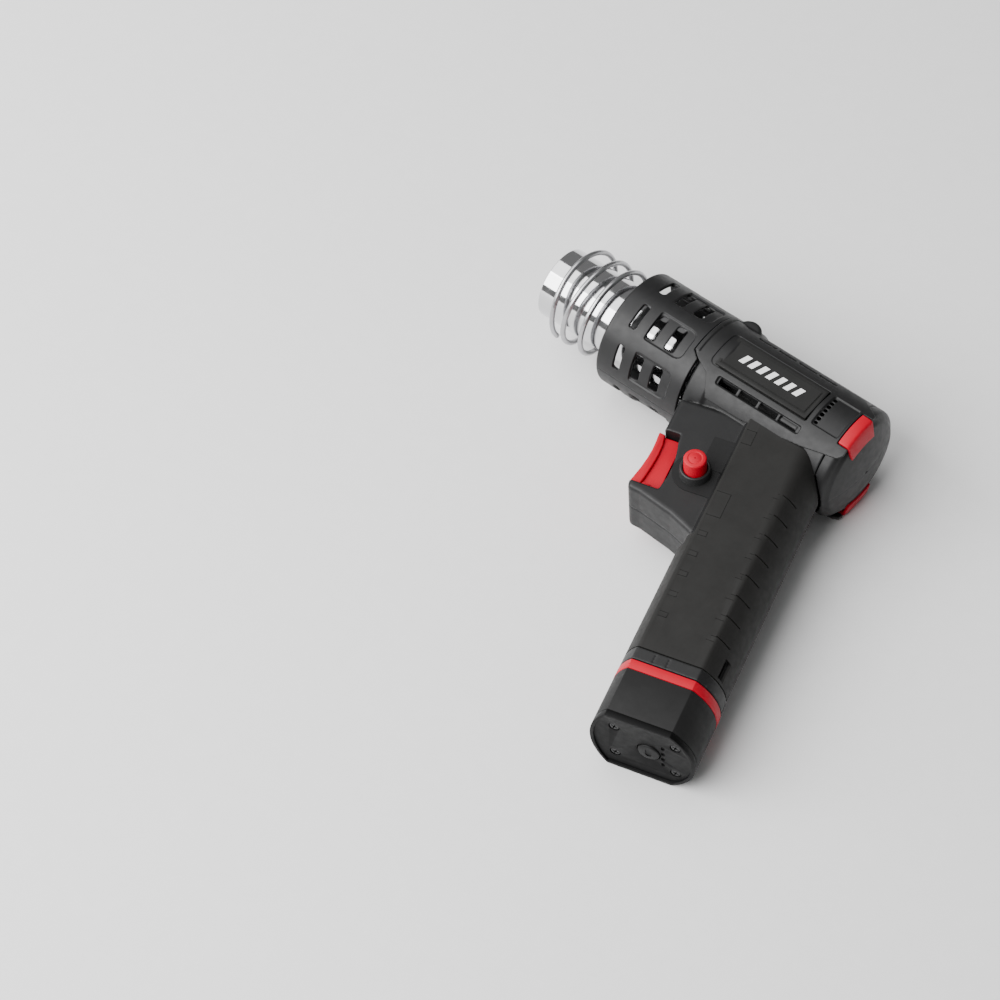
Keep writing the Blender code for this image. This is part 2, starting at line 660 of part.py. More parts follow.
def trigger():
    """Sliding trigger: a curved finger pad on a narrower body with a spring pocket."""
    pad = [(-33.4, -7.4), (-36.5, -7.0), (-36.1, -12.0), (-35.9, -17.0), (-36.2, -22.0), (-36.9, -27.5),
           (-38.0, -33.0), (-38.8, -36.8), (-33.8, -37.0), (-32.9, -31.0), (-32.3, -25.0), (-32.0, -19.0),
           (-32.2, -13.0)]
    body = [(-36.0, -8.0), (TRIGGER_BACK, -8.0), (TRIGGER_BACK, -36.3), (-37.0, -36.3), (-36.4, -30.0),
            (-35.0, -24.0), (-34.6, -16.0)]
    item = slab("trigger", grip, pad, -TRIGGER_PAD_HALF, TRIGGER_PAD_HALF)
    soften(item, 0.7)
    join(item, slab("trigger_body", grip, body, -TRIGGER_BODY_HALF, TRIGGER_BODY_HALF))
    cut(item, rod("trigger_pocket", grip, at(-30.6, SPRING_Q), at(-20.0, SPRING_Q),
                  SPRING_RADIUS + 0.9, steps=20))
    return finish(item, RED)


def trigger_spring():
    """Return spring between the pocket in the trigger and the wall behind it."""
    points = helix(at(-30.0, SPRING_Q), (1, 0, 0), (0, 0, 1), SPRING_RADIUS, 2.95, 4, 10)
    return finish(wire("trigger_spring", grip, points, 0.35), STEEL)


def micro_switch():
    """Micro switch behind the trigger, with its plunger and the bore it runs in."""
    start = TRIGGER_BACK + GAP
    end = start + PULL + 1.2
    plunger = rod("switch_plunger", grip, at(start, PLUNGER_Q), at(end, PLUNGER_Q), 1.3, steps=16)
    finish(plunger, DARK)
    face = TRIGGER_BACK + PULL + GAP
    body = grip_box("micro_switch", (face, 30.2, -9.0), (-12.6, 36.0, 9.0))
    bore = rod("micro_switch_bore", grip, at(-26, PLUNGER_Q), at(-13.8, PLUNGER_Q), 1.3 + GAP, steps=16)
    cut(body, bore)
    return finish(body, DARK)


trigger()
trigger_spring()
micro_switch()


def lock_button():
    """Cross bolt that locks the trigger, domed a little at both ends."""
    place = (BUTTON_PLACE[0], -BUTTON_PLACE[1], 0.0)
    bolt = rod("lock_button", grip, (0, 0, -19.0), (0, 0, BUTTON_TOP), BUTTON_RADIUS, place=place, steps=36)
    soften(bolt, 0.6, 2)
    return finish(bolt, RED)


lock_button()


# ---- battery pack ------------------------------------------------------------
STEM_INSET = RUBBER + GRIP_WALL + 0.5
STEM_SHOULDER = 62.0
STEM_TOP = 22.0
CASE_END = BATTERY_END - 3.0
CASE_WALL = 1.3
CELL_RADIUS = 9.0


def stem_section(inset):
    """Cross-section of the narrow upper half of the battery stem."""
    half = 13.0 - inset
    left = 5.5 + inset
    right = 29.5 - inset
    corner = 4.0
    points = []
    for centre, start in (((right - corner, half - corner), 0), ((left + corner, half - corner), 90),
                          ((left + corner, corner - half), 180), ((right - corner, corner - half), 270)):
        points += arc(centre, corner, start, start + 90, 4)
    return points


def battery_case():
    """Battery base and stem in one moulding, open at the end cap."""
    case = along_grip("battery_case", full_section(0.0), COLLAR_END + GAP, CASE_END)
    lower = along_grip("case_lower", full_section(STEM_INSET), STEM_SHOULDER, COLLAR_END + 2)
    upper = along_grip("case_upper", stem_section(0.0), STEM_TOP, STEM_SHOULDER + 1)
    join(case, lower, upper)
    groove = along_grip("case_groove", full_section(-2.0), COLLAR_END + GAP - 0.1, BAND_END + GAP)
    groove_core = along_grip("case_groove_core", full_section(1.4), 100.0, 140.0)
    cut(groove, groove_core)
    base_room = along_grip("case_base_room", full_section(3.0), BAND_END + 2, CASE_END + 1)
    lower_room = along_grip("case_lower_room", full_section(STEM_INSET + CASE_WALL), STEM_SHOULDER + 2,
                            BAND_END + 3)
    upper_room = along_grip("case_upper_room", stem_section(CASE_WALL), STEM_TOP + 2, STEM_SHOULDER + 3)
    cut(case, groove, base_room, lower_room, upper_room)
    for side in (1, -1):
        low, high = mirrored(9.0, 20.0, side)
        cut(case, grip_box(f"case_latch_slot_{side}", (29.4, WINDOW_TOP, low), (45.0, WINDOW_END, high)))
    return finish(case, PLASTIC)


battery_case()


def battery_band():
    """Red ring that snaps into the groove round the battery base."""
    band = along_grip("battery_band", full_section(-0.1), COLLAR_END + 2 * GAP, BAND_END)
    cut(band, along_grip("band_hole", full_section(1.4 - GAP), 100.0, 140.0))
    return finish(band, RED)


battery_band()


def end_cap():
    """Battery end cap with its sunk face, screw pockets and gauge button opening."""
    cap = along_grip("battery_end_cap", full_section(0.0), CASE_END + GAP, BATTERY_END)
    sunk = along_grip("cap_sunk", full_section(2.2), BATTERY_END - 1.0, BATTERY_END + 1)
    cut(cap, sunk)
    opening = rod("cap_opening", grip, at(19.0, 140.0), at(19.0, 160.0), 5.5, steps=24)
    cut(cap, opening)
    for number, (p, z) in enumerate(CAP_SCREWS):
        cut(cap, rod(f"cap_bore_{number}", grip, at(p, 140.0, z), at(p, 160.0, z), 2.2 + GAP, steps=16))
    return finish(cap, DARK)


CAP_SCREWS = ((3.5, 10.5), (3.5, -10.5), (31.0, 10.5), (31.0, -10.5))
end_cap()
for index, (screw_p, screw_z) in enumerate(CAP_SCREWS):
    finish(rod(f"battery_screw_{index + 1}", grip, at(screw_p, CASE_END - 1.0, screw_z),
               at(screw_p, BATTERY_END - 1.2, screw_z), 2.2, steps=16), STEEL)
finish(soften(rod("gauge_button", grip, at(0, -2.0), at(0, 1.6), 5.0,
                  place=at(19.0, CASE_END + 1.0), steps=24), 0.4), DARK)

for index, (cell_p, cell_start) in enumerate(((6.9, 66.0), (25.6, 66.0), (17.5, 25.0))):
    length = 36.0 if index == 2 else 65.0
    finish(rod(f"battery_cell_{index + 1}", grip, at(cell_p, cell_start), at(cell_p, cell_start + length),
               CELL_RADIUS, steps=20), CELL)


def stem_collar():
    """Round contact head at the top of the battery stem."""
    head = rod("battery_contact_head", grip, at(17.5, 12.0), at(17.5, STEM_TOP - GAP), 13.0, steps=36)
    return finish(soften(head, 0.8), DARK)


stem_collar()


def latch(name, side):
    """Spring tongue of the battery that shows in the window at the back of the grip."""
    low, high = mirrored(11.0, 15.5, side)
    tongue = grip_box(name, (29.9, WINDOW_TOP + 0.5, low), (38.0, WINDOW_END - 0.5, high))
    keep(tongue, along_grip(name + "_limit", full_section(STEM_INSET), 100.0, 120.0))
    return finish(tongue, DARK)


latch("left_latch", 1)
latch("right_latch", -1)


# ---- contacts and screws -----------------------------------------------------
def contact_socket():
    """Contact block in the top of the grip that meets the battery head."""
    block = rod("contact_socket", grip, at(17.5, 4.0), at(17.5, 12.0 - GAP), 12.0, steps=32)
    return finish(block, DARK)


contact_socket()


def housing_screw(name, frame, place):
    """Self-tapping screw that enters from the right side."""
    head = rod(name, frame, (place[0], place[1], -14.2), (place[0], place[1], -12.0), HEAD_RADIUS, steps=20)
    shank = rod(name + "_shank", frame, (place[0], place[1], -13.0), (place[0], place[1], 9.5),
                SCREW_RADIUS, steps=12)
    join(head, shank)
    return finish(head, STEEL)


for index, (screw_p, screw_q) in enumerate(SCREWS):
    housing_screw(f"grip_screw_{index + 1}", grip, (screw_p, -screw_q))
for index, spot in enumerate(BARREL_SCREWS):
    housing_screw(f"barrel_screw_{index + 1}", gun, spot)
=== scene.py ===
"""Looks of the cordless heat gun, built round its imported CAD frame.

Shapes are worked out in millimetres in two frames.  The gun frame has its
origin on the barrel axis at the front of the cowl, with x to the rear, y to the
top and z out of the left side.  The grip frame sits at the top front corner of
the grip: x runs front to back, -y runs down the grip and z is the left side.
Sheets that wrap the barrel are modelled flat and then rolled round its axis.
"""
import json
import math

import bmesh
import bpy
from mathutils import Matrix, Vector


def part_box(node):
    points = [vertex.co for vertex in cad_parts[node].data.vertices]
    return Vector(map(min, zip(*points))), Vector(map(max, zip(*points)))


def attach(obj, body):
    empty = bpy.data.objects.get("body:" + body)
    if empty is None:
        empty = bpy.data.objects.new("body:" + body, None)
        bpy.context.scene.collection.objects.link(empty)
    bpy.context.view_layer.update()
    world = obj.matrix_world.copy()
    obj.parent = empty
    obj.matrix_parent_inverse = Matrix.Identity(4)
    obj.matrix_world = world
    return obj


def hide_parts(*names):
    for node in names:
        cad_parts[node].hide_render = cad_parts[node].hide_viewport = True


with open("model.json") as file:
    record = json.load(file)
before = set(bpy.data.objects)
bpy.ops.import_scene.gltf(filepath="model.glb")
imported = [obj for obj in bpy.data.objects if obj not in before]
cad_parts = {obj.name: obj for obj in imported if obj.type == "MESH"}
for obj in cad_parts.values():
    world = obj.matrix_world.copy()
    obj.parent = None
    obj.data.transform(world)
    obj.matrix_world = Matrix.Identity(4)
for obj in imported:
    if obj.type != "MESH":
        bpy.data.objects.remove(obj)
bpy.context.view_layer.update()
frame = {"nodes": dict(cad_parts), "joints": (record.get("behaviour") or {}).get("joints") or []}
MM = 0.001

# ---- the two working frames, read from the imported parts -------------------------
TUBE_FRONT = -43.5
BUTTON_PLACE = (-12.5, -23.9)
tube_low, tube_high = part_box("nozzle_tube")
axis_middle = (tube_low + tube_high) / 2
GUN = Matrix.Translation((tube_low.x - TUBE_FRONT * MM, axis_middle.y, axis_middle.z))
joints = {joint["name"]: joint for joint in frame["joints"]}
down_grip = Vector(joints["battery_pull"]["axis"])
RAKE = math.atan2(down_grip.x, -down_grip.y)
button_low, button_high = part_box("lock_button")
button_middle = (button_low + button_high) / 2
turn_grip = Matrix.Rotation(RAKE, 4, "Z")
grip_place = Vector((button_middle.x, button_middle.y, axis_middle.z))
grip_place -= turn_grip @ (Vector((*BUTTON_PLACE, 0.0)) * MM)
GRIP = Matrix.Translation(grip_place) @ turn_grip

# ---- sizes shared by several pieces (mm) -----------------------------------------
SEAM = 0.15               # half of the parting line between left and right mouldings
BARREL = 27.0             # radius of the barrel under its side covers
SKIN = 28.5               # outer radius of the cowl and side covers
GRIP_HALF = 20.3
GRIP_FLAT = 29.0
FRONT_BULGE = 7.5
REAR_BULGE = 11.0
RUBBER = 1.5
RUBBER_END = 117.5
COLLAR_END = 123.8
BAND_END = 128.9
BATTERY_END = 153.4
WEB_HALF = 15.5
WINDOW_TOP = 106.3        # latch window, distances down the grip
WINDOW_END = 116.0
WINDOW_SIDE = (10.8, 14.4)    # and across it
FINE = 0.42               # voxel size of the moulded housing
FINER = 0.34              # voxel size of the rolled sheets


# ---- making solids ----------------------------------------------------------------
def place(name, mesh, where):
    item = bpy.data.objects.new(name, mesh)
    bpy.context.scene.collection.objects.link(item)
    item.matrix_world = where
    return item


def close(solid, name, where):
    bmesh.ops.recalc_face_normals(solid, faces=solid.faces)
    mesh = bpy.data.meshes.new(name)
    solid.to_mesh(mesh)
    solid.free()
    return place(name, mesh, where)


def block(low, high, where=GUN):
    """A box between two corners."""
    low, high = Vector(low) * MM, Vector(high) * MM
    size = high - low
    matrix = Matrix.Translation((low + high) / 2) @ Matrix.Diagonal((*size, 1.0))
    solid = bmesh.new()
    bmesh.ops.create_cube(solid, size=1.0, matrix=matrix)
    return close(solid, "block", where)


def rod(start, end, radius, where=GUN, end_radius=None, steps=64):
    start, end = Vector(start) * MM, Vector(end) * MM
    run = end - start
    matrix = Matrix.Translation((start + end) / 2) @ run.to_track_quat("Z", "Y").to_matrix().to_4x4()
    solid = bmesh.new()
    far = radius if end_radius is None else end_radius
    bmesh.ops.create_cone(solid, cap_ends=True, segments=steps, radius1=radius * MM, radius2=far * MM,
                          depth=run.length, matrix=matrix)
    return close(solid, "rod", where)


def prism(outline, low, high, where=GUN, turn=None):
    """A flat outline in x and y, extruded from z = low to z = high."""
    solid = bmesh.new()
    face = solid.faces.new([solid.verts.new((x * MM, y * MM, low * MM)) for x, y in outline])
    raised = bmesh.ops.extrude_face_region(solid, geom=[face])["geom"]
    moved = [item for item in raised if isinstance(item, bmesh.types.BMVert)]
    bmesh.ops.translate(solid, verts=moved, vec=(0.0, 0.0, (high - low) * MM))
    if turn is not None:
        bmesh.ops.transform(solid, matrix=turn, verts=solid.verts)
    return close(solid, "prism", where)


def turned(profile, where=GUN, steps=160):
    """A ring or disc from a closed (x, radius) outline, turned about the x axis."""
    solid = bmesh.new()
    rings = []
    for x, radius in profile:
        ring = []
        for step in range(steps):
            angle = 2 * math.pi * step / steps
            y, z = radius * math.sin(angle), radius * math.cos(angle)
            ring.append(solid.verts.new((x * MM, y * MM, z * MM)))
        rings.append(ring)
    for ring, following in zip(rings, rings[1:] + rings[:1]):
        for step in range(steps):
            after = (step + 1) % steps
            solid.faces.new((ring[step], ring[after], following[after], following[step]))
    return close(solid, "turned", where)


def wire(points, radius):
    """A round wire along a smooth run of points in the gun frame."""
    curve = bpy.data.curves.new("wire", "CURVE")
    curve.dimensions = "3D"
    curve.bevel_depth = radius * MM
    curve.bevel_resolution = 5
    curve.use_fill_caps = True
    line = curve.splines.new("POLY")
    line.points.add(len(points) - 1)
    for target, point in zip(line.points, points):
        target.co = (point[0] * MM, point[1] * MM, point[2] * MM, 1.0)
    holder = place("wire_curve", curve, GUN)
    bpy.context.view_layer.update()
    mesh = bpy.data.meshes.new_from_object(holder.evaluated_get(bpy.context.evaluated_depsgraph_get()))
    bpy.data.objects.remove(holder)
    solid = bmesh.new()
    solid.from_mesh(mesh)
    bmesh.ops.remove_doubles(solid, verts=solid.verts, dist=1e-6)
    return close(solid, "wire", GUN)


def settle(item):
    """Make the modified shape the object's own mesh."""
    bpy.context.view_layer.update()
    mesh = bpy.data.meshes.new_from_object(item.evaluated_get(bpy.context.evaluated_depsgraph_get()))
    item.modifiers.clear()
    item.data = mesh
    return item


def combine(item, operation, tools):
    for tool in tools:
        modifier = item.modifiers.new(operation, "BOOLEAN")
        modifier.operation = operation
        modifier.solver = "EXACT"
        modifier.object = tool
    settle(item)
    for tool in tools:
        bpy.data.objects.remove(tool)
    return item


def cut(item, *tools):
    return combine(item, "DIFFERENCE", tools)


def join(item, *tools):
    return combine(item, "UNION", tools)


def keep(item, *tools):
    return combine(item, "INTERSECT", tools)


def round_edges(item, width, segments=3, angle=35.0):
    bevel = item.modifiers.new("edges", "BEVEL")
    bevel.width = width * MM
    bevel.segments = segments
    bevel.limit_method = "ANGLE"
    bevel.angle_limit = math.radians(angle)
    return settle(item)


def melt(item, voxel, passes=2):
    """Fuse a moulding into one even skin, which rounds its corners a little."""
    modifier = item.modifiers.new("skin", "REMESH")
    modifier.mode = "VOXEL"
    modifier.voxel_size = voxel * MM
    smooth = item.modifiers.new("even", "SMOOTH")
    smooth.factor = 0.5
    smooth.iterations = passes
    return settle(item)


def roll(item, radius=SKIN):
    """Roll a flat sheet (x, run round the barrel, height) round the barrel axis."""
    for vertex in item.data.vertices:
        x, run, height = vertex.co
        angle = run / (radius * MM)
        reach = radius * MM + height
        vertex.co = (x, reach * math.sin(angle), reach * math.cos(angle))
    return item


def reflect(item, name):
    """The same moulding for the other side of the gun."""
    mesh = item.data.copy()
    mesh.transform(Matrix.Diagonal((1.0, 1.0, -1.0, 1.0)))
    mesh.flip_normals()
    return place(name, mesh, item.matrix_world.copy())


def finish(item, name, look, body, slot, *nodes, sharp=30.0):
    """Fix a piece in the row frame, give it its look and hang it on its CAD body."""
    item.name = name
    item.data.name = name
    item.data.transform(item.matrix_world)
    item.matrix_world = Matrix.Identity(4)
    item.data.materials.clear()
    item.data.materials.append(look)
    item.data.shade_smooth()
    if sharp is not None:
        item.data.set_sharp_from_angle(angle=math.radians(sharp))
    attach(item, body)
    if nodes:
        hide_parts(*nodes)
    return item


# ---- outlines ---------------------------------------------------------------------
def arc(centre, radius, start, end, steps):
    points = []
    for step in range(steps + 1):
        angle = math.radians(start + (end - start) * step / steps)
        points.append((centre[0] + radius * math.cos(angle), centre[1] + radius * math.sin(angle)))
    return points


def rounded(low, high, radius, steps=4):
    """A rectangle with round corners; the radius may be one number or four."""
    radii = radius if isinstance(radius, tuple) else (radius,) * 4
    corners = ((high[0], high[1], -1, -1, 0), (low[0], high[1], 1, -1, 90),
               (low[0], low[1], 1, 1, 180), (high[0], low[1], -1, 1, 270))
    points = []
    for (x, y, step_x, step_y, start), size in zip(corners, radii):
        points += arc((x + step_x * size, y + step_y * size), size, start, start + 90, steps)
    return points


def bulge(start, end, depth, steps):
    """Points strictly between two corners on the arc that bows out to their right by depth."""
    start, end = Vector(start), Vector(end)
    half = (end - start).length / 2
    radius = (half * half + depth * depth) / (2 * depth)
    along = (end - start).normalized()
    out = Vector((along.y, -along.x))
    centre = (start + end) / 2 - out * (radius - depth)
    spread = math.asin(half / radius)
    angles = [spread * (2 * step / steps - 1) for step in range(1, steps)]
    return [tuple(centre + radius * (out * math.cos(a) + along * math.sin(a))) for a in angles]


def section(inset):
    """The whole cross-section of the grip and battery as (front to back, across)."""
    half = GRIP_HALF - inset
    outline = [(0.0, half)]
    outline += bulge((0.0, half), (0.0, -half), FRONT_BULGE - inset, 28)
    outline += [(0.0, -half), (GRIP_FLAT, -half)]
    outline += bulge((GRIP_FLAT, -half), (GRIP_FLAT, half), REAR_BULGE - inset, 36)
    outline.append((GRIP_FLAT, half))
    return outline


def soften_corners(outline, radius, steps=3, limit=20.0):
    """Replace each clear corner of a closed outline with a short round."""
    points = [Vector(point) for point in outline]
    result = []
    for index, point in enumerate(points):
        before = (points[index - 1] - point)
        after = (points[(index + 1) % len(points)] - point)
        bend = math.degrees(math.pi - before.angle(after))
        if bend < limit:
            result.append(tuple(point))
            continue
        reach = min(radius * math.tan(math.radians(bend) / 2), before.length * 0.45, after.length * 0.45)
        first = point + before.normalized() * reach
        last = point + after.normalized() * reach
        for step in range(steps + 1):
            t = step / steps
            result.append(tuple(first * (1 - t) ** 2 + point * 2 * t * (1 - t) + last * t * t))
    return result


# Swaps y and z, so that an extrusion in z becomes one in y.
SWAP = Matrix(((1, 0, 0, 0), (0, 0, 1, 0), (0, 1, 0, 0), (0, 0, 0, 1)))


def along_grip(outline, start, end):
    """Extrude a (front to back, across) outline down the grip from start to end."""
    return prism(outline, -end, -start, GRIP, SWAP)


def loft(outlines):
    """A closed skin through matching (front to back, across) outlines at distances down the grip."""
    solid = bmesh.new()
    rings = []
    for outline, q in outlines:
        rings.append([solid.verts.new((p * MM, -q * MM, z * MM)) for p, z in outline])
    count = len(rings[0])
    for ring, following in zip(rings, rings[1:]):
        for index in range(count):
            after = (index + 1) % count
            solid.faces.new((ring[index], ring[after], following[after], following[index]))
    solid.faces.new(rings[0])
    solid.faces.new(rings[-1])
    return close(solid, "loft", GRIP)


def grip_block(low, high):
    """A box between two (front to back, down, across) corners in the grip frame."""
    return block((low[0], -high[1], low[2]), (high[0], -low[1], high[2]), GRIP)


def wrap(y):
    """Distance round the skin from the side of the barrel to a height y."""
    return SKIN * math.asin(y / SKIN)


# ---- materials --------------------------------------------------------------------
def material(name, colour, roughness, metallic=0.0, grain=0.12, grain_size=0.35, tone=0.12, wear=0.0,
             streaks=0.0, coat=0.0, gloss=0.5):
    """A procedural finish: mottled tone, moulded grain, worn edges, and streaks if it is drawn metal.

    Sizes are in millimetres.
    """
    look = bpy.data.materials.new(name)
    look.use_nodes = True
    nodes, links = look.node_tree.nodes, look.node_tree.links
    shader = nodes["Principled BSDF"]
    shader.inputs["Metallic"].default_value = metallic
    shader.inputs["Coat Weight"].default_value = coat
    shader.inputs["Specular IOR Level"].default_value = gloss
    spot = nodes.new("ShaderNodeTexCoord")

    def noise(size, detail, stretch=None):
        texture = nodes.new("ShaderNodeTexNoise")
        texture.inputs["Scale"].default_value = 1.0 / (size * MM)
        texture.inputs["Detail"].default_value = detail
        source = spot.outputs["Object"]
        if stretch is not None:
            mapping = nodes.new("ShaderNodeMapping")
            mapping.inputs["Scale"].default_value = stretch
            links.new(source, mapping.inputs["Vector"])
            source = mapping.outputs["Vector"]
        links.new(source, texture.inputs["Vector"])
        return texture.outputs["Fac"]

    def spread(source, low, high, target, bottom=0.3, top=0.7):
        ramp = nodes.new("ShaderNodeMapRange")
        ramp.inputs["From Min"].default_value = bottom
        ramp.inputs["From Max"].default_value = top
        ramp.inputs["To Min"].default_value = low
        ramp.inputs["To Max"].default_value = high
        links.new(source, ramp.inputs["Value"])
        links.new(ramp.outputs["Result"], target)
        return ramp

    def blend(source, first, second):
        mix = nodes.new("ShaderNodeMix")
        mix.data_type = "RGBA"
        mix.inputs["A"].default_value = (*first, 1.0)
        mix.inputs["B"].default_value = (*second, 1.0)
        spread(source, 0.0, 1.0, mix.inputs["Factor"])
        return mix.outputs["Result"]

    darker = tuple(channel * (1 - tone) for channel in colour)
    lighter = tuple(channel * (1 + tone) for channel in colour)
    base = blend(noise(9.0, 4.0), darker, lighter)
    if wear > 0:
        edge = nodes.new("ShaderNodeNewGeometry")
        rub = nodes.new("ShaderNodeMix")
        rub.data_type = "RGBA"
        worn = tuple(channel + wear * (0.35 - channel) for channel in colour)
        rub.inputs["B"].default_value = (*worn, 1.0)
        links.new(base, rub.inputs["A"])
        spread(edge.outputs["Pointiness"], 0.0, 1.0, rub.inputs["Factor"], 0.53, 0.62)
        base = rub.outputs["Result"]
    links.new(base, shader.inputs["Base Color"])
    spread(noise(3.0, 5.0), roughness - 0.05, roughness + 0.06, shader.inputs["Roughness"])
    bump = nodes.new("ShaderNodeBump")
    bump.inputs["Strength"].default_value = grain
    bump.inputs["Distance"].default_value = 0.1 * MM
    links.new(noise(grain_size, 2.0), bump.inputs["Height"])
    normal = bump.outputs["Normal"]
    if streaks > 0:
        drawn = nodes.new("ShaderNodeBump")
        drawn.inputs["Strength"].default_value = streaks
        drawn.inputs["Distance"].default_value = 0.05 * MM
        links.new(noise(2.0, 6.0, (8.0, 0.4, 0.4)), drawn.inputs["Height"])
        links.new(normal, drawn.inputs["Normal"])
        normal = drawn.outputs["Normal"]
    links.new(normal, shader.inputs["Normal"])
    return look


PLASTIC = material("moulded_plastic", (0.0095, 0.0095, 0.0098), 0.46, wear=0.05, gloss=0.30)
COWL_LOOK = material("cowl_plastic", (0.0090, 0.0090, 0.0094), 0.44, wear=0.05, gloss=0.32)
RUBBER_LOOK = material("soft_grip_rubber", (0.0125, 0.0122, 0.0115), 0.60, grain=0.2, grain_size=0.5,
                       wear=0.02, gloss=0.22)
DARK = material("dark_plastic", (0.0040, 0.0040, 0.0042), 0.55, gloss=0.22)
# Near-black end face: much darker than the other plastic, as painted shade standing in for shade that falls
# on the battery's end.
SHADED_FACE_LOOK = material("end_face_painted_shade", (0.0016, 0.0016, 0.0017), 0.5, gloss=0.12)
LATCH_LOOK = material("latch_plastic", (0.030, 0.030, 0.030), 0.5, gloss=0.35)
PLATE_LOOK = material("plate_plastic", (0.0100, 0.0100, 0.0096), 0.5, grain=0.2, grain_size=0.45, gloss=0.28)
RED = material("red_plastic", (0.43, 0.0010, 0.0150), 0.44, grain=0.1, grain_size=0.5, tone=0.05, gloss=0.20)
CHROME = material("chrome_tube", (0.66, 0.66, 0.67), 0.09, metallic=1.0, grain=0.03, grain_size=0.8,
                  tone=0.03, streaks=0.05)
STEEL = material("guard_wire_steel", (0.46, 0.46, 0.47), 0.30, metallic=1.0, grain=0.1, tone=0.08,
                 streaks=0.2)
BLACK_STEEL = material("blackened_screw", (0.045, 0.045, 0.046), 0.40, metallic=1.0, grain=0.1)
BATTERY_LOOK = material("battery_plastic", (0.0100, 0.0100, 0.0100), 0.62, gloss=0.22)
WEB_LOOK = material("pad_plastic", (0.0085, 0.0085, 0.0087), 0.58, gloss=0.22)
SCREW_STEEL = material("screw_steel", (0.42, 0.42, 0.43), 0.35, metallic=1.0, grain=0.1)
MICA = material("mica_sheet", (0.50, 0.44, 0.30), 0.45, grain=0.3, grain_size=1.5, tone=0.3)
CERAMIC = material("ceramic_former", (0.74, 0.71, 0.64), 0.7, grain=0.3, grain_size=0.4, tone=0.08)
HEATER = material("heater_wire", (0.30, 0.26, 0.24), 0.45, metallic=1.0, tone=0.25, streaks=0.2)
BOARD = material("circuit_board", (0.02, 0.12, 0.045), 0.35, tone=0.2, coat=0.3)
CELL = material("cell_wrap", (0.03, 0.16, 0.33), 0.3, tone=0.06, coat=0.3)
INK = material("white_ink", (0.82, 0.82, 0.82), 0.55, grain=0.1, tone=0.02)

for node, look in {
    "mica_sleeve": MICA, "heater_former": CERAMIC, "heater_coil": HEATER, "thermal_fuse": CERAMIC,
    "control_board": BOARD, "motor_can": SCREW_STEEL, "motor_shaft": SCREW_STEEL, "fan_impeller": DARK,
    "fan_duct": DARK, "contact_socket": DARK, "micro_switch": DARK, "switch_plunger": DARK,
    "trigger_spring": STEEL, "battery_cell_1": CELL, "battery_cell_2": CELL, "battery_cell_3": CELL,
    "battery_contact_head": DARK, "barrel_screw_1": SCREW_STEEL, "barrel_screw_2": SCREW_STEEL,
    "grip_screw_1": SCREW_STEEL, "grip_screw_2": SCREW_STEEL,
}.items():
    mesh = frame["nodes"][node].data
    mesh.materials.clear()
    mesh.materials.append(look)


# ---- hot end ----------------------------------------------------------------------
def nozzle_tube():
    """Thin chromed tube with a rolled rim."""
    outer, inner = 17.5, 16.7
    profile = [(TUBE_FRONT + 0.4, inner)]
    profile += [(x, r) for x, r in arc((TUBE_FRONT + 0.4, (outer + inner) / 2), 0.4, 270, 90, 8)]
    profile += [(60.0, outer), (60.0, inner)]
    tube = turned(profile[1:], steps=192)
    return finish(tube, "nozzle_tube_skin", CHROME, "housing", "chrome_tube", "nozzle_tube", sharp=50)


# Where the guard wire crosses each angle round the tube: degrees from +Z towards +Y, then x.
GUARD_RUN = ((-118, -30.7), (-92, -30.8), (-67, -31.2), (-30, -32.2), (0, -32.6), (30, -31.6), (120, -28.6),
             (200, -26.3), (273, -24.3), (312, -23.4), (334, -22.6), (358, -21.8), (403, -21.2), (500, -18.6),
             (580, -15.6), (636, -13.9), (676, -13.1), (718, -12.5), (745, -12.1), (800, -11.0), (860, -8.6),
             (905, -6.4))
GUARD_RADIUS = 22.3


def guard_coil():
    """Springy wire guard round the tube; its tail runs back under the cowl."""
    points = []
    for (start, first), (end, last) in zip(GUARD_RUN, GUARD_RUN[1:]):
        steps = max(2, round((end - start) / 6))
        for step in range(steps):
            part = step / steps
            angle = math.radians(start + (end - start) * part)
            points.append((first + (last - first) * part, GUARD_RADIUS * math.sin(angle),
                           GUARD_RADIUS * math.cos(angle)))
    for smoothing in range(8):
        along = [point[0] for point in points]
        evened = [(before + here + after) / 3 for before, here, after in zip(along, along[1:], along[2:])]
        points[1:-1] = [(x, point[1], point[2]) for x, point in zip(evened, points[1:-1])]
    tail = points[-1]
    points += [(tail[0] + reach, tail[1], tail[2]) for reach in (1.5, 4.0, 9.0, 17.0)]
    coil = wire(points, 1.25)
    return finish(coil, "guard_coil_wire", STEEL, "housing", "steel_wire", "guard_coil", sharp=None)


nozzle_tube()
guard_coil()

SLOT_ROWS = (-64.0, -19.5, 26.0, 70.0)
SLOTS = ((9.3, 13.1), (19.0, 23.5), (29.3, 34.4))
COWL_ARCH = ((42.25, 20.3), (42.25, -9.0), (46.5, -12.1), (60.0, -12.1), (60.0, 20.3))


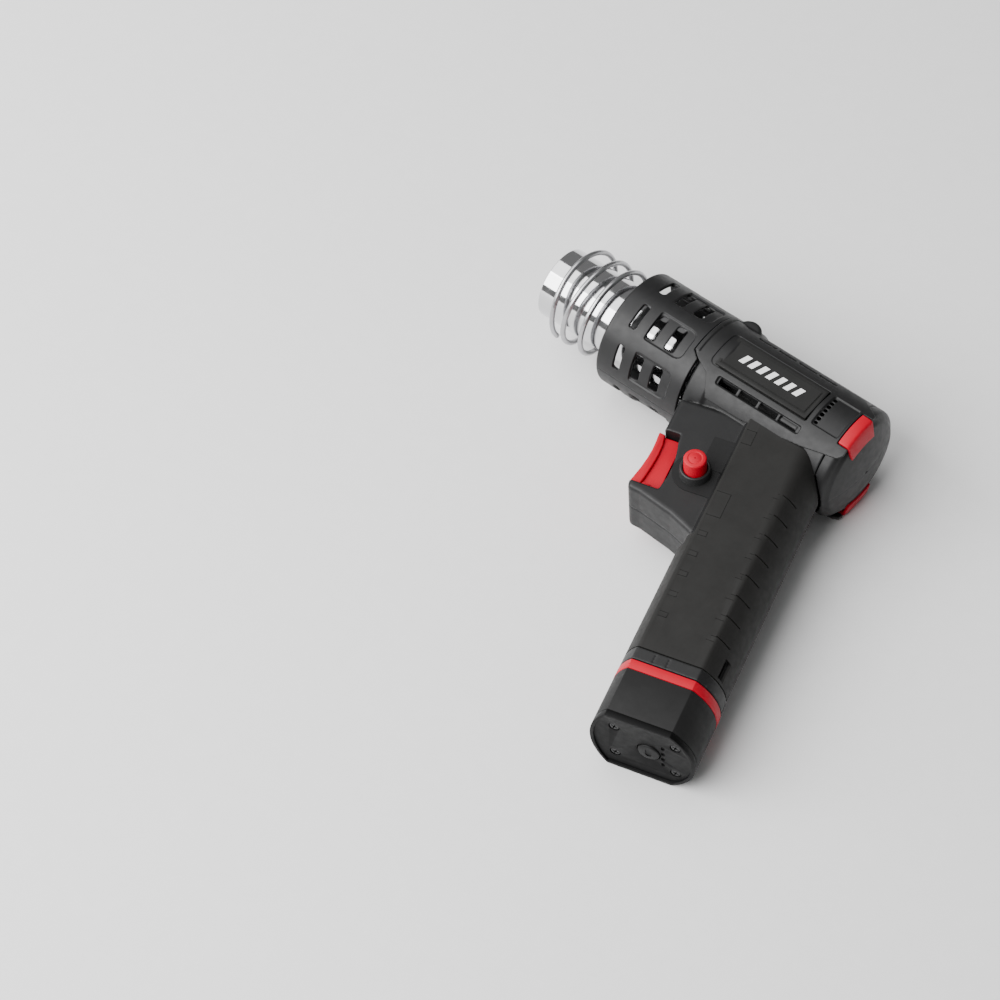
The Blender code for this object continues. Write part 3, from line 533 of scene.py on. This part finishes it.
def cowl():
    """Slotted guard round the hot end, as two halves with sunk panels round the slots."""
    edge = wrap(SKIN * math.cos(math.asin(SEAM / SKIN)))
    side = [(0.0, -2.0), (0.0, -0.9), (0.25, -0.3), (0.9, 0.0), (46.2, 0.0), (46.2, -2.0)]
    sheet = prism(side, -edge, edge, turn=SWAP)
    panels = []
    slots = []
    for angle in SLOT_ROWS:
        middle = SKIN * math.radians(angle)
        panel = rounded((18.7, middle - 7.7), (39.6, middle + 7.7), (3.6, 1.0, 1.0, 3.6))
        panels.append(prism(panel, -0.75, 2.0))
        for start, end in SLOTS:
            slots.append(prism(rounded((start, middle - 6.6), (end, middle + 6.6), 1.3), -4.0, 2.0))
    arch = prism([(x, wrap(y)) for x, y in COWL_ARCH], -5.0, 5.0)
    cut(sheet, *panels, *slots, arch)
    melt(sheet, FINER, 2)
    roll(sheet)
    other = reflect(sheet, "other_cowl")
    finish(sheet, "left_cowl_moulding", COWL_LOOK, "housing", "cowl_plastic", "left_cowl", sharp=None)
    finish(other, "right_cowl_moulding", COWL_LOOK, "housing", "cowl_plastic", "right_cowl", sharp=None)


cowl()


# ---- side covers of the barrel ------------------------------------------------------
PLATE_LOW = (54.3, -9.6)
PLATE_HIGH = (104.2, 8.6)


def side_cover():
    """Cover that wraps the side of the barrel: arch, plate recess, vents and lower strip."""
    outline = [(42.6, 19.8), (42.6, -8.8), (46.4, -11.6), (53.2, -14.6), (58.3, -22.4), (77.0, -22.4),
               (109.0, -19.2), (126.3, -16.2), (128.2, -14.2), (128.2, -11.0), (122.6, -11.0), (122.6, 8.0),
               (127.6, 8.0), (127.6, 10.5), (117.0, 17.6), (52.0, 17.8), (49.0, 19.8)]
    flat = [(x, wrap(y)) for x, y in outline]
    sheet = prism(flat, -1.35, 0.0)
    lip = block((42.6, wrap(-8.8), -1.9), (46.4, wrap(19.8), 0.0))
    band = block((42.6, wrap(-8.8), -0.5), (44.7, wrap(19.8), 0.42))
    join(sheet, lip, band)
    tools = [
        prism(rounded((51.9, wrap(-10.1)), (104.9, wrap(9.1)), (0.8, 2.2, 2.2, 0.8)), -4.0, 2.0),
        block((45.1, wrap(-8.0), -0.35), (45.6, wrap(19.0), 2.0)),
        prism(rounded((59.4, wrap(-16.3)), (105.0, wrap(-12.9)), 0.7), -0.8, 2.0),
        prism(rounded((107.4, wrap(-9.6)), (121.4, wrap(8.4)), 0.8), -0.7, 2.0),
        prism(rounded((108.0, wrap(-8.6)), (109.7, wrap(7.6)), 0.4), -4.0, 2.0),
        block((59.0, wrap(12.4), -0.3), (106.0, wrap(12.8), 2.0)),
    ]
    for number in range(4):
        start = 60.8 + number * 11.0
        tools.append(prism(rounded((start, wrap(-16.0)), (start + 9.4, wrap(-13.2)), 0.4), -4.0, 2.0))
        start = 60.4 + number * 11.1
        tools.append(prism(rounded((start, wrap(14.6)), (start + 9.6, wrap(16.0)), 0.4), -4.0, 2.0))
    cut(sheet, *tools)
    teeth = [block((107.9, wrap(-7.6 + 2.5 * number), -1.2), (109.8, wrap(-6.6 + 2.5 * number), -0.7))
             for number in range(6)]
    rib = block((94.5, wrap(-15.3), -1.3), (103.0, wrap(-13.8), -0.5))
    join(sheet, rib, *teeth)
    melt(sheet, FINER, 2)
    roll(sheet)
    other = reflect(sheet, "other_cover")
    for item, title in ((sheet, "left"), (other, "right")):
        finish(item, title + "_side_moulding", PLASTIC, "housing", "housing_plastic", title + "_side_cover",
               sharp=None)


side_cover()


def label_plate():
    """Badge plate with a raised border and a plain mark of slanted bars."""
    plate = block((*PLATE_LOW, 25.8), (*PLATE_HIGH, 27.5))
    round_edges(plate, 0.35, 2)
    x0, y0 = PLATE_LOW
    x1, y1 = PLATE_HIGH
    border = block((x0 + 1.7, y0 + 1.7, 27.3), (x1 - 1.7, y1 - 1.7, 27.9))
    cut(border, block((x0 + 2.3, y0 + 2.3, 26.0), (x1 - 2.3, y1 - 2.3, 28.5)))
    inner = block((x0 + 2.6, y0 + 2.6, 27.35), (x1 - 2.6, y1 - 2.6, 27.7))
    cut(plate, border)
    join(plate, inner)
    other = reflect(plate, "other_plate")
    finish(plate, "left_badge_plate", PLATE_LOOK, "housing", "dark_plastic", "left_label_plate")
    finish(other, "right_badge_plate", PLATE_LOOK, "housing", "dark_plastic", "right_label_plate")
    for side in (1, -1):
        bars = []
        for number in range(7):
            start = 62.0 + number * 4.9
            low, high = (27.6, 27.82) if side > 0 else (-27.82, -27.6)
            outline = [(start, -2.6), (start + 2.7, -2.6), (start + 4.4, 2.2), (start + 1.7, 2.2)]
            bars.append(prism(outline, low, high))
        mark = join(bars[0], *bars[1:])
        title = "left" if side > 0 else "right"
        finish(mark, title + "_plain_mark", INK, "housing", "dark_plastic")


label_plate()


def red_tab():
    """Red trim that folds over the rear corner of the side cover."""
    profile = [(122.9, 0.05), (127.2, -0.15), (128.0, -0.45), (128.6, -1.2), (129.1, -4.0), (130.3, -9.2),
               (128.8, -9.6), (127.4, -2.2), (122.9, -1.5)]
    solid = bmesh.new()
    rows = []
    steps = 24
    for step in range(steps + 1):
        y = -10.5 + 18.0 * step / steps
        ring = []
        for x, height in profile:
            across = y * (1.0 + 0.012 * height)
            drop = SKIN - math.sqrt(SKIN * SKIN - across * across)
            ring.append(solid.verts.new((x * MM, across * MM, (SKIN + height - drop) * MM)))
        rows.append(ring)
    count = len(profile)
    for row, following in zip(rows, rows[1:]):
        for index in range(count):
            after = (index + 1) % count
            solid.faces.new((row[index], row[after], following[after], following[index]))
    solid.faces.new(rows[0])
    solid.faces.new(rows[-1])
    tab = close(solid, "tab", GUN)
    round_edges(tab, 0.3, 2, 50.0)
    other = reflect(tab, "other_tab")
    finish(tab, "left_red_trim", RED, "housing", "red_plastic", "left_red_tab", sharp=40)
    finish(other, "right_red_trim", RED, "housing", "red_plastic", "right_red_tab", sharp=40)


red_tab()


def rear_cap():
    """Domed rear end with the parting line down its middle."""
    wall = 2.0
    rim = 3.4
    outer = [(120.3, BARREL)]
    for angle in (0, 15, 30, 45, 60, 72):
        lean = math.radians(angle)
        outer.append((123.6 + rim * math.sin(lean), BARREL - rim * (1 - math.cos(lean))))
    for radius in (23.0, 20.0, 16.0, 12.0, 8.0, 4.0, 0.6):
        outer.append((131.9 - 0.0068 * radius * radius, radius))
    inner = [(x - wall * 0.95, max(0.6, radius - wall * 0.8)) for x, radius in reversed(outer[1:-1])]
    profile = outer + [(outer[-1][0] - wall, 0.6)] + inner + [(120.3, BARREL - wall)]
    cap = turned(profile, steps=128)
    parting = block((128.0, -30.0, -0.2), (131.95, 30.0, 0.2))
    cut(cap, parting, along_grip(section(-0.3), -9.0, 60.0))
    melt(cap, FINE, 2)
    finish(cap, "rear_cap_moulding", PLASTIC, "housing", "dark_plastic", "rear_cap", sharp=None)


rear_cap()


# ---- housing ------------------------------------------------------------------------
WEB_OUTLINE = ((-34.0, 12.0), (-34.0, -6.2), (-38.4, -36.4), (-37.6, -41.2), (-31.6, -42.2), (-14.9, -47.7),
               (-5.9, -52.0), (-1.5, -54.4), (3.0, -54.8), (3.0, 12.0))
WEB_ROOM = ((-23.7, 10.0), (-23.7, -7.6), (-30.0, -7.6), (-30.0, -36.6), (-23.7, -36.6), (-23.7, -41.9),
            (-14.0, -45.2), (-4.9, -49.6), (3.1, -52.2), (3.1, 10.0))
FINGER_CURVE = ((-50.0, -6.6), (-26.3, -6.9), (-25.7, -11.3), (-24.4, -16.0), (-23.2, -22.8), (-23.2, -29.5),
                (-24.3, -37.6), (-50.0, -37.0))
GRIP_SCREWS = ((-19.0, -41.3), (-4.5, -45.5))
BARREL_SCREWS = ((64.5, 20.6), (111.0, 20.6))


def housing_half(side):
    """One half of the housing: barrel, trigger housing, grip core and collar in one moulding."""
    body = rod((48.4, 0, 0), (120.0, 0, 0), BARREL, steps=144)
    nose = turned([(47.6, 20.0), (47.6, 27.2), (48.3, 28.1), (56.5, 28.1), (59.5, 26.6), (59.5, 20.0)])
    neck = rod((46.5, 0, 0), (49.0, 0, 0), 25.2, steps=96)
    hump = rod((51.6, 18.4, -20.0), (51.6, 18.4, 20.0), 6.2, steps=64)
    round_edges(hump, 1.6, 4)
    ridge = rod((50.0, 22.4, 0.0), (118.0, 22.4, 0.0), 6.6, end_radius=5.2, steps=48)
    web = round_edges(prism(WEB_OUTLINE, -WEB_HALF, WEB_HALF, GRIP), 2.0, 4, 60.0)
    core = along_grip(section(RUBBER), -8.0, COLLAR_END - 1.0)
    collar = along_grip(soften_corners(section(0.0), 1.2), RUBBER_END + 0.3, COLLAR_END)
    join(body, nose, neck, hump, ridge, web, core, collar)
    tools = [
        rod((45.0, 0, 0), (121.0, 0, 0), BARREL - 2.2, steps=96),
        prism(WEB_ROOM, 2.2 - WEB_HALF, WEB_HALF - 2.2, GRIP),
        along_grip(section(RUBBER + 1.7), -13.5, COLLAR_END + 1.0),
        prism(FINGER_CURVE, -20.0, 20.0, GRIP),
    ]
    cut(body, *tools)
    seats = []
    for where, spots in ((GRIP, GRIP_SCREWS), (GUN, BARREL_SCREWS)):
        for x, y in spots:
            reach = 14.4 if where is GRIP else 18.0
            boss = rod((x, y, -reach), (x, y, reach), 3.4, where, steps=32)
            if where is GUN:
                keep(boss, rod((x - 8, 0, 0), (x + 8, 0, 0), BARREL - 0.6))
            seats.append(boss)
    join(body, *seats)
    tools = []
    for where, spots in ((GRIP, GRIP_SCREWS), (GUN, BARREL_SCREWS)):
        for x, y in spots:
            tools.append(rod((x, y, -40.0), (x, y, 11.0), 1.5, where, steps=24))
            tools.append(rod((x, y, -40.0), (x, y, -11.7), 2.95, where, steps=32))
    tools.append(rod((*BUTTON_PLACE, -30.0), (*BUTTON_PLACE, 30.0), 5.5, GRIP))
    low, high = (15.0, 40.0) if side > 0 else (-40.0, -15.0)
    tools.append(block((60.0, -16.6, low), (105.0, -12.6, high)))
    tools.append(block((60.0, 13.8, low), (105.0, 16.6, high)))
    tools.append(block((107.6, -8.8, low), (110.0, 7.8, high)))
    low, high = sorted(side * reach for reach in WINDOW_SIDE)
    tools.append(grip_block((30.0, WINDOW_TOP, low), (45.0, WINDOW_END, high)))
    low, high = (19.9, 22.0) if side > 0 else (-22.0, -19.9)
    for p in (8.4, 14.5):
        tools.append(grip_block((p, 118.9, low), (p + 0.7, 123.4, high)))
    low, high = (-60.0, SEAM) if side > 0 else (-SEAM, 60.0)
    tools.append(block((0, -200, low), (200, 60, high)))
    cut(body, *tools)
    melt(body, FINE, 2)
    title = "left" if side > 0 else "right"
    finish(body, title + "_housing", PLASTIC, "housing", "housing_plastic", title + "_shell", sharp=None)


housing_half(1)
housing_half(-1)


def web_details(side):
    """Raised pads round the lock bolt that stand on the side of the trigger housing."""
    x, y = BUTTON_PLACE
    low, high = WEB_HALF - 0.4, WEB_HALF + 0.35
    if side < 0:
        low, high = -high, -low
    pad = rod((x, y, low), (x, y, high), 10.3, GRIP, steps=96)
    join(pad, block((x, y - 10.3, low), (-0.2, y + 3.0, high), GRIP))
    shelf = block((-11.8, -20.0, low), (-0.2, -2.7, high), GRIP)
    step = (0.15 if side > 0 else -0.15)
    shelf_low, shelf_high = sorted((low + step, high + step))
    upper = block((-9.0, -20.0, shelf_low), (-0.2, -5.6, shelf_high), GRIP)
    join(pad, shelf, upper)
    cut(pad, rod((x, y, -30.0), (x, y, 30.0), 7.1, GRIP))
    round_edges(pad, 0.12, 1, 50.0)
    title = "left" if side > 0 else "right"
    finish(pad, title + "_bolt_pad", WEB_LOOK, "housing", "housing_plastic")
    ring = [(15.2, 7.35), (19.3, 7.0), (19.75, 6.75), (20.0, 6.3), (19.9, 5.75), (19.4, 5.5), (15.2, 5.5)]
    collar = turned(ring, Matrix(), 96)
    stand = Matrix.Rotation(math.radians(-90.0 * side), 4, "Y")
    collar.data.transform(Matrix.Translation((x * MM, y * MM, 0.0)) @ stand)
    collar.matrix_world = GRIP
    finish(collar, title + "_bolt_collar", PLASTIC, "housing", "housing_plastic", title + "_button_collar")


web_details(1)
web_details(-1)


# ---- grip covers --------------------------------------------------------------------
SLIT_STEP = 11.05


def eased_section(q, count=480):
    """Grip outline at a distance down the grip; its rear crease is soft at the top and crisp below."""
    outline = [Vector(point) for point in section(0.0)]
    lengths = [(after - here).length for here, after in zip(outline, outline[1:] + outline[:1])]
    spacing = sum(lengths) / count
    points = []
    index, walked = 0, 0.0
    for number in range(count):
        while index < len(lengths) - 1 and number * spacing > walked + lengths[index]:
            walked += lengths[index]
            index += 1
        part = (number * spacing - walked) / lengths[index]
        points.append(outline[index].lerp(outline[(index + 1) % len(outline)], part))
    result = []
    for number, point in enumerate(points):
        reach = 0.8
        if point.x > GRIP_FLAT / 2:
            reach = 0.8 + 3.4 * (1.0 - min(1.0, max(0.0, q / 80.0)))
        near = round(reach / spacing)
        around = [points[(number + step) % count] for step in range(-near, near + 1)]
        result.append(tuple(sum(around, Vector((0.0, 0.0))) / len(around)))
    return result


def grip_cover(side):
    """Rubber cover of one side of the grip, with its slits and moulded-in marks."""
    cover = loft([(eased_section(q), q) for q in range(-10, 121, 10)])
    cut(cover, grip_block((-20.0, RUBBER_END, -40.0), (60.0, 140.0, 40.0)))
    low, high = (-60.0, SEAM) if side > 0 else (-SEAM, 60.0)
    clear = WEB_HALF + 0.5
    web = prism([(-40.0, 30.0), (-40.0, -60.0), (3.0, -60.0), (3.0, 30.0)], -clear, clear, GRIP)
    inner, outer = sorted(side * reach for reach in WINDOW_SIDE)
    cut(cover, along_grip(section(RUBBER - 0.3), -20.0, RUBBER_END + 5),
        rod((0, 0, 0), (200, 0, 0), BARREL + 0.3, steps=96),
        web, grip_block((30.0, WINDOW_TOP, inner), (45.0, WINDOW_END, outer)),
        block((0, -200, low), (200, 60, high), GRIP),
        grip_block((-40.0, -30.0, -40.0), (0.01, 56.0, 40.0)))
    tools = []
    for number in range(8):
        q = 23.4 + SLIT_STEP * number
        slit = block((-4.1, -0.3, -1.1), (4.6, 0.3, 1.6), Matrix())
        lean = Matrix.Rotation(math.radians(44.0), 4, "Y") @ Matrix.Rotation(math.radians(-6.0), 4, "Z")
        slit.data.transform(lean)
        slit.data.transform(Matrix.Translation((31.9 * MM, -(q + 0.5) * MM, 17.9 * MM)))
        if side < 0:
            slit.data.transform(Matrix.Diagonal((1, 1, -1, 1)))
            slit.data.flip_normals()
        slit.matrix_world = GRIP
        tools.append(slit)
    face = GRIP_HALF - 0.22
    line = 0.32
    strips = []
    for number in range(8):
        q = 23.4 + SLIT_STEP * number
        strips += [(26.2, q + 0.3, 29.2, q + 0.3 + line), (24.8, q + 2.9, 29.2, q + 2.9 + line)]
    boxes = [(1.6, 53.6 + SLIT_STEP * number, 5.7, 56.4 + SLIT_STEP * number) for number in range(5)]
    for p0, q0, p1, q1 in boxes + [(1.2, -3.4, 5.9, 4.6), (1.2, 31.8, 7.8, 45.2)]:
        strips += [(p0, q0, p1, q0 + line), (p0, q1 - line, p1, q1), (p1 - line, q0 + line, p1, q1 - line)]
    depth = (face, 30.0) if side > 0 else (-30.0, -face)
    for p0, q0, p1, q1 in strips:
        tools.append(grip_block((p0, q0, depth[0]), (p1, q1, depth[1])))
    cut(cover, *tools)
    title = "left" if side > 0 else "right"
    finish(cover, title + "_rubber_cover", RUBBER_LOOK, "housing", "grip_rubber", title + "_grip_cover",
           sharp=35)


grip_cover(1)
grip_cover(-1)


# ---- trigger and lock bolt ----------------------------------------------------------
def trigger():
    """Sliding trigger: a curved finger pad on a narrower body, with a foot lip."""
    pad = [(-33.4, -7.4), (-36.5, -7.0), (-36.1, -12.0), (-35.9, -17.0), (-36.2, -22.0), (-36.9, -27.5),
           (-38.0, -33.0), (-38.8, -36.8), (-33.8, -37.0), (-32.9, -31.0), (-32.3, -25.0), (-32.0, -19.0),
           (-32.2, -13.0)]
    body = [(-36.0, -8.2), (-29.4, -8.2), (-24.8, -8.4), (-24.8, -36.0), (-37.0, -36.0), (-36.4, -30.0),
            (-35.0, -24.0), (-34.6, -16.0)]
    item = round_edges(prism(pad, -12.2, 12.2, GRIP), 0.7, 3)
    core = round_edges(prism(body, -10.8, 10.8, GRIP), 0.4, 2)
    lip = round_edges(block((-33.4, -36.7, -12.0), (-29.3, -34.6, 12.0), GRIP), 0.5, 2)
    join(item, core, lip)
    cut(item, block((-30.6, -36.0, -8.0), (-20.0, -9.6, 8.0), GRIP))
    finish(item, "trigger_moulding", RED, "trigger", "red_plastic", "trigger", sharp=40)


def lock_button():
    """Cross bolt with a crowned head and a plain ring mark."""
    profile = [(-19.0, 0.3), (-19.0, 4.4), (-18.4, 5.1), (26.1, 5.15), (26.6, 4.95), (26.9, 4.5), (27.0, 3.4),
               (26.85, 3.2), (26.85, 2.7), (27.0, 2.5), (27.0, 0.3)]
    bolt = turned(profile, Matrix(), 96)
    bolt.data.transform(Matrix.Rotation(math.radians(-90.0), 4, "Y"))
    bolt.data.transform(Matrix.Translation((BUTTON_PLACE[0] * MM, BUTTON_PLACE[1] * MM, 0.0)))
    bolt.matrix_world = GRIP
    finish(bolt, "lock_bolt", RED, "lock_button", "red_plastic", "lock_button", sharp=40)


trigger()
lock_button()

# ---- battery ------------------------------------------------------------------------
CAP_SCREWS = ((3.5, 10.5), (3.5, -10.5), (31.0, 10.5), (31.0, -10.5))
CASE_END = BATTERY_END - 3.0
STEM_INSET = RUBBER + 1.7 + 0.5


def battery():
    """Battery base with its stem, red band and sunk end face."""
    crisp = soften_corners(section(0.0), 0.45, 3)
    case = along_grip(crisp, COLLAR_END + 0.3, CASE_END)
    lower = along_grip(soften_corners(section(STEM_INSET), 1.5), 62.0, COLLAR_END + 2)
    upper = along_grip(rounded((5.5, -13.0), (29.5, 13.0), 4.0, 8), 22.0, 63.0)
    join(case, lower, upper)
    groove = along_grip(section(-2.0), COLLAR_END + 0.2, BAND_END + 0.3)
    cut(groove, along_grip(section(1.4), 100.0, 140.0))
    tools = [groove, along_grip(section(3.0), BAND_END + 2, CASE_END + 1),
             along_grip(section(STEM_INSET + 1.3), 64.0, BAND_END + 3),
             along_grip(rounded((6.8, -11.7), (28.2, 11.7), 3.0, 8), 24.0, 65.0)]
    tools += [grip_block((29.4, WINDOW_TOP, low), (45.0, WINDOW_END, low + 11.0)) for low in (9.0, -20.0)]
    cut(case, *tools)
    round_edges(case, 0.25, 2, 50.0)
    finish(case, "battery_moulding", BATTERY_LOOK, "battery", "housing_plastic", "battery_case", sharp=35)
    band = along_grip(soften_corners(section(-0.1), 0.6, 3), COLLAR_END + 0.6, BAND_END)
    cut(band, along_grip(section(1.1), 100.0, 140.0))
    round_edges(band, 0.2, 2, 50.0)
    finish(band, "battery_red_band", RED, "battery", "red_plastic", "battery_band", sharp=35)


def end_cap():
    """End cap: a sunk face coloured near-black as painted shade, with four screws, an oval window and fine
    level marks.
    """
    cap = along_grip(soften_corners(section(0.0), 0.45, 3), CASE_END + 0.3, BATTERY_END)
    tools = [along_grip(soften_corners(section(1.7), 0.5), BATTERY_END - 1.0, BATTERY_END + 1),
             rod((19.0, -140.0, 0.0), (19.0, -160.0, 0.0), 5.5, GRIP)]
    tools += [rod((p, -140.0, z), (p, -160.0, z), 2.5, GRIP, steps=32) for p, z in CAP_SCREWS]
    tools += [along_grip(rounded((24.6, z - 1.3), (26.2, z + 1.3), 0.7), BATTERY_END - 1.6, 160.0)
              for z in (-6.6, -2.2, 2.2, 6.6)]
    cut(cap, *tools)
    round_edges(cap, 0.2, 2, 50.0)
    # The end face's near-black colour is painted shade.
    finish(cap, "battery_end_face", SHADED_FACE_LOOK, "battery", "dark_plastic", "battery_end_cap", sharp=35)
    for number, (p, z) in enumerate(CAP_SCREWS):
        screw = rod((p, -CASE_END + 1.0, z), (p, -BATTERY_END + 1.2, z), 2.2, GRIP, steps=40)
        round_edges(screw, 0.4, 3, 50.0)
        for angle in (20.0, 110.0):
            turn = Matrix.Rotation(math.radians(angle), 4, "Y")
            cross = block((-1.5, -0.8, -0.32), (1.5, 0.8, 0.32), Matrix())
            cross.data.transform(Matrix.Translation((p * MM, (1.2 - BATTERY_END) * MM, z * MM)) @ turn)
            cross.matrix_world = GRIP
            cut(screw, cross)
        finish(screw, f"battery_screw_head_{number + 1}", BLACK_STEEL, "battery", "steel",
               f"battery_screw_{number + 1}")
    button = rod((19.0, -CASE_END + 1.0, 0.0), (19.0, -CASE_END - 2.6, 0.0), 5.0, GRIP)
    round_edges(button, 0.6, 3, 50.0)
    cut(button, along_grip(rounded((17.6, -2.8), (20.4, 2.8), 1.3, 6), CASE_END + 2.2, 160.0))
    finish(button, "gauge_push_button", DARK, "gauge_button", "dark_plastic", "gauge_button")


def latch(side):
    """Latch tongue with one groove, seen through the window at the back of the grip."""
    low, high = sorted((side * 11.0, side * 15.5))
    tongue = grip_block((29.9, WINDOW_TOP + 0.5, low), (38.0, WINDOW_END - 0.5, high))
    keep(tongue, along_grip(section(STEM_INSET), 100.0, 120.0))
    cut(tongue, grip_block((36.2, 108.4, -20.0), (45.0, 109.0, 20.0)))
    round_edges(tongue, 0.2, 2, 50.0)
    title = "left" if side > 0 else "right"
    finish(tongue, title + "_latch_tongue", LATCH_LOOK, title + "_latch", "dark_plastic", title + "_latch")


battery()
end_cap()
latch(1)
latch(-1)


# ---- studio -------------------------------------------------------------------------
def floor():
    """Pale paper that leans a little, so that it touches both the barrel and the battery."""
    mesh = bpy.data.meshes.new("studio_floor")
    sheet = bmesh.new()
    bmesh.ops.create_grid(sheet, x_segments=2, y_segments=2, size=6.0)
    sheet.to_mesh(mesh)
    sheet.free()
    lean = Matrix.Rotation(math.radians(-2.81), 4, "X")
    item = place("studio_floor", mesh, Matrix.Translation((0.0, 0.0, 3.5 * MM)) @ lean)
    paper = material("floor_paper", (0.80, 0.80, 0.80), 0.9, grain=0.02, grain_size=3.0, tone=0.01)
    item.data.materials.append(paper)
    return item


floor()


def softbox(name, direction, distance, size, power, aim=(0.0, 0.0, 0.02)):
    light = bpy.data.lights.new(name, "AREA")
    light.shape = "RECTANGLE"
    light.size, light.size_y = size
    light.energy = power
    item = bpy.data.objects.new(name, light)
    bpy.context.scene.collection.objects.link(item)
    spot = Vector(aim) + Vector(direction).normalized() * distance
    item.location = spot
    back = (spot - Vector(aim)).normalized()
    along = Vector((1.0, 0.0, 0.0))
    up = back.cross(along).normalized()
    along = up.cross(back)
    item.rotation_euler = Matrix((along, up, back)).transposed().to_euler()
    return item


def ring_direction(angle):
    """A direction that the tube mirrors towards the camera, by its angle round the tube."""
    turn = math.radians(angle)
    return (-0.40, 0.916 * math.sin(turn), 0.916 * math.cos(turn))


softbox("key_softbox", ring_direction(-41.0), 1.5, (2.0, 1.1), 62.0)
softbox("overhead_softbox", ring_direction(5.0), 1.6, (1.8, 1.2), 20.0)

world = bpy.data.worlds.new("studio_air")
world.use_nodes = True
world.node_tree.nodes["Background"].inputs["Color"].default_value = (1.0, 1.0, 1.0, 1.0)
world.node_tree.nodes["Background"].inputs["Strength"].default_value = 0.22
bpy.context.scene.world = world

camera_data = bpy.data.cameras.new("camera")
camera_data.lens = 102.6
camera_data.sensor_width = 36.0
camera_data.clip_start = 0.05
camera = bpy.data.objects.new("camera", camera_data)
bpy.context.scene.collection.objects.link(camera)
right = Vector((0.7603, 0.6470, -0.0579))
up = Vector((-0.5103, 0.6501, 0.5630))
back = Vector((0.4019, -0.3985, 0.8245))
eye = GUN @ (Vector((522.0, -616.0, 1043.0)) * MM)
camera.matrix_world = Matrix.Translation(eye) @ Matrix((right, up, back)).transposed().to_4x4()
bpy.context.scene.camera = camera
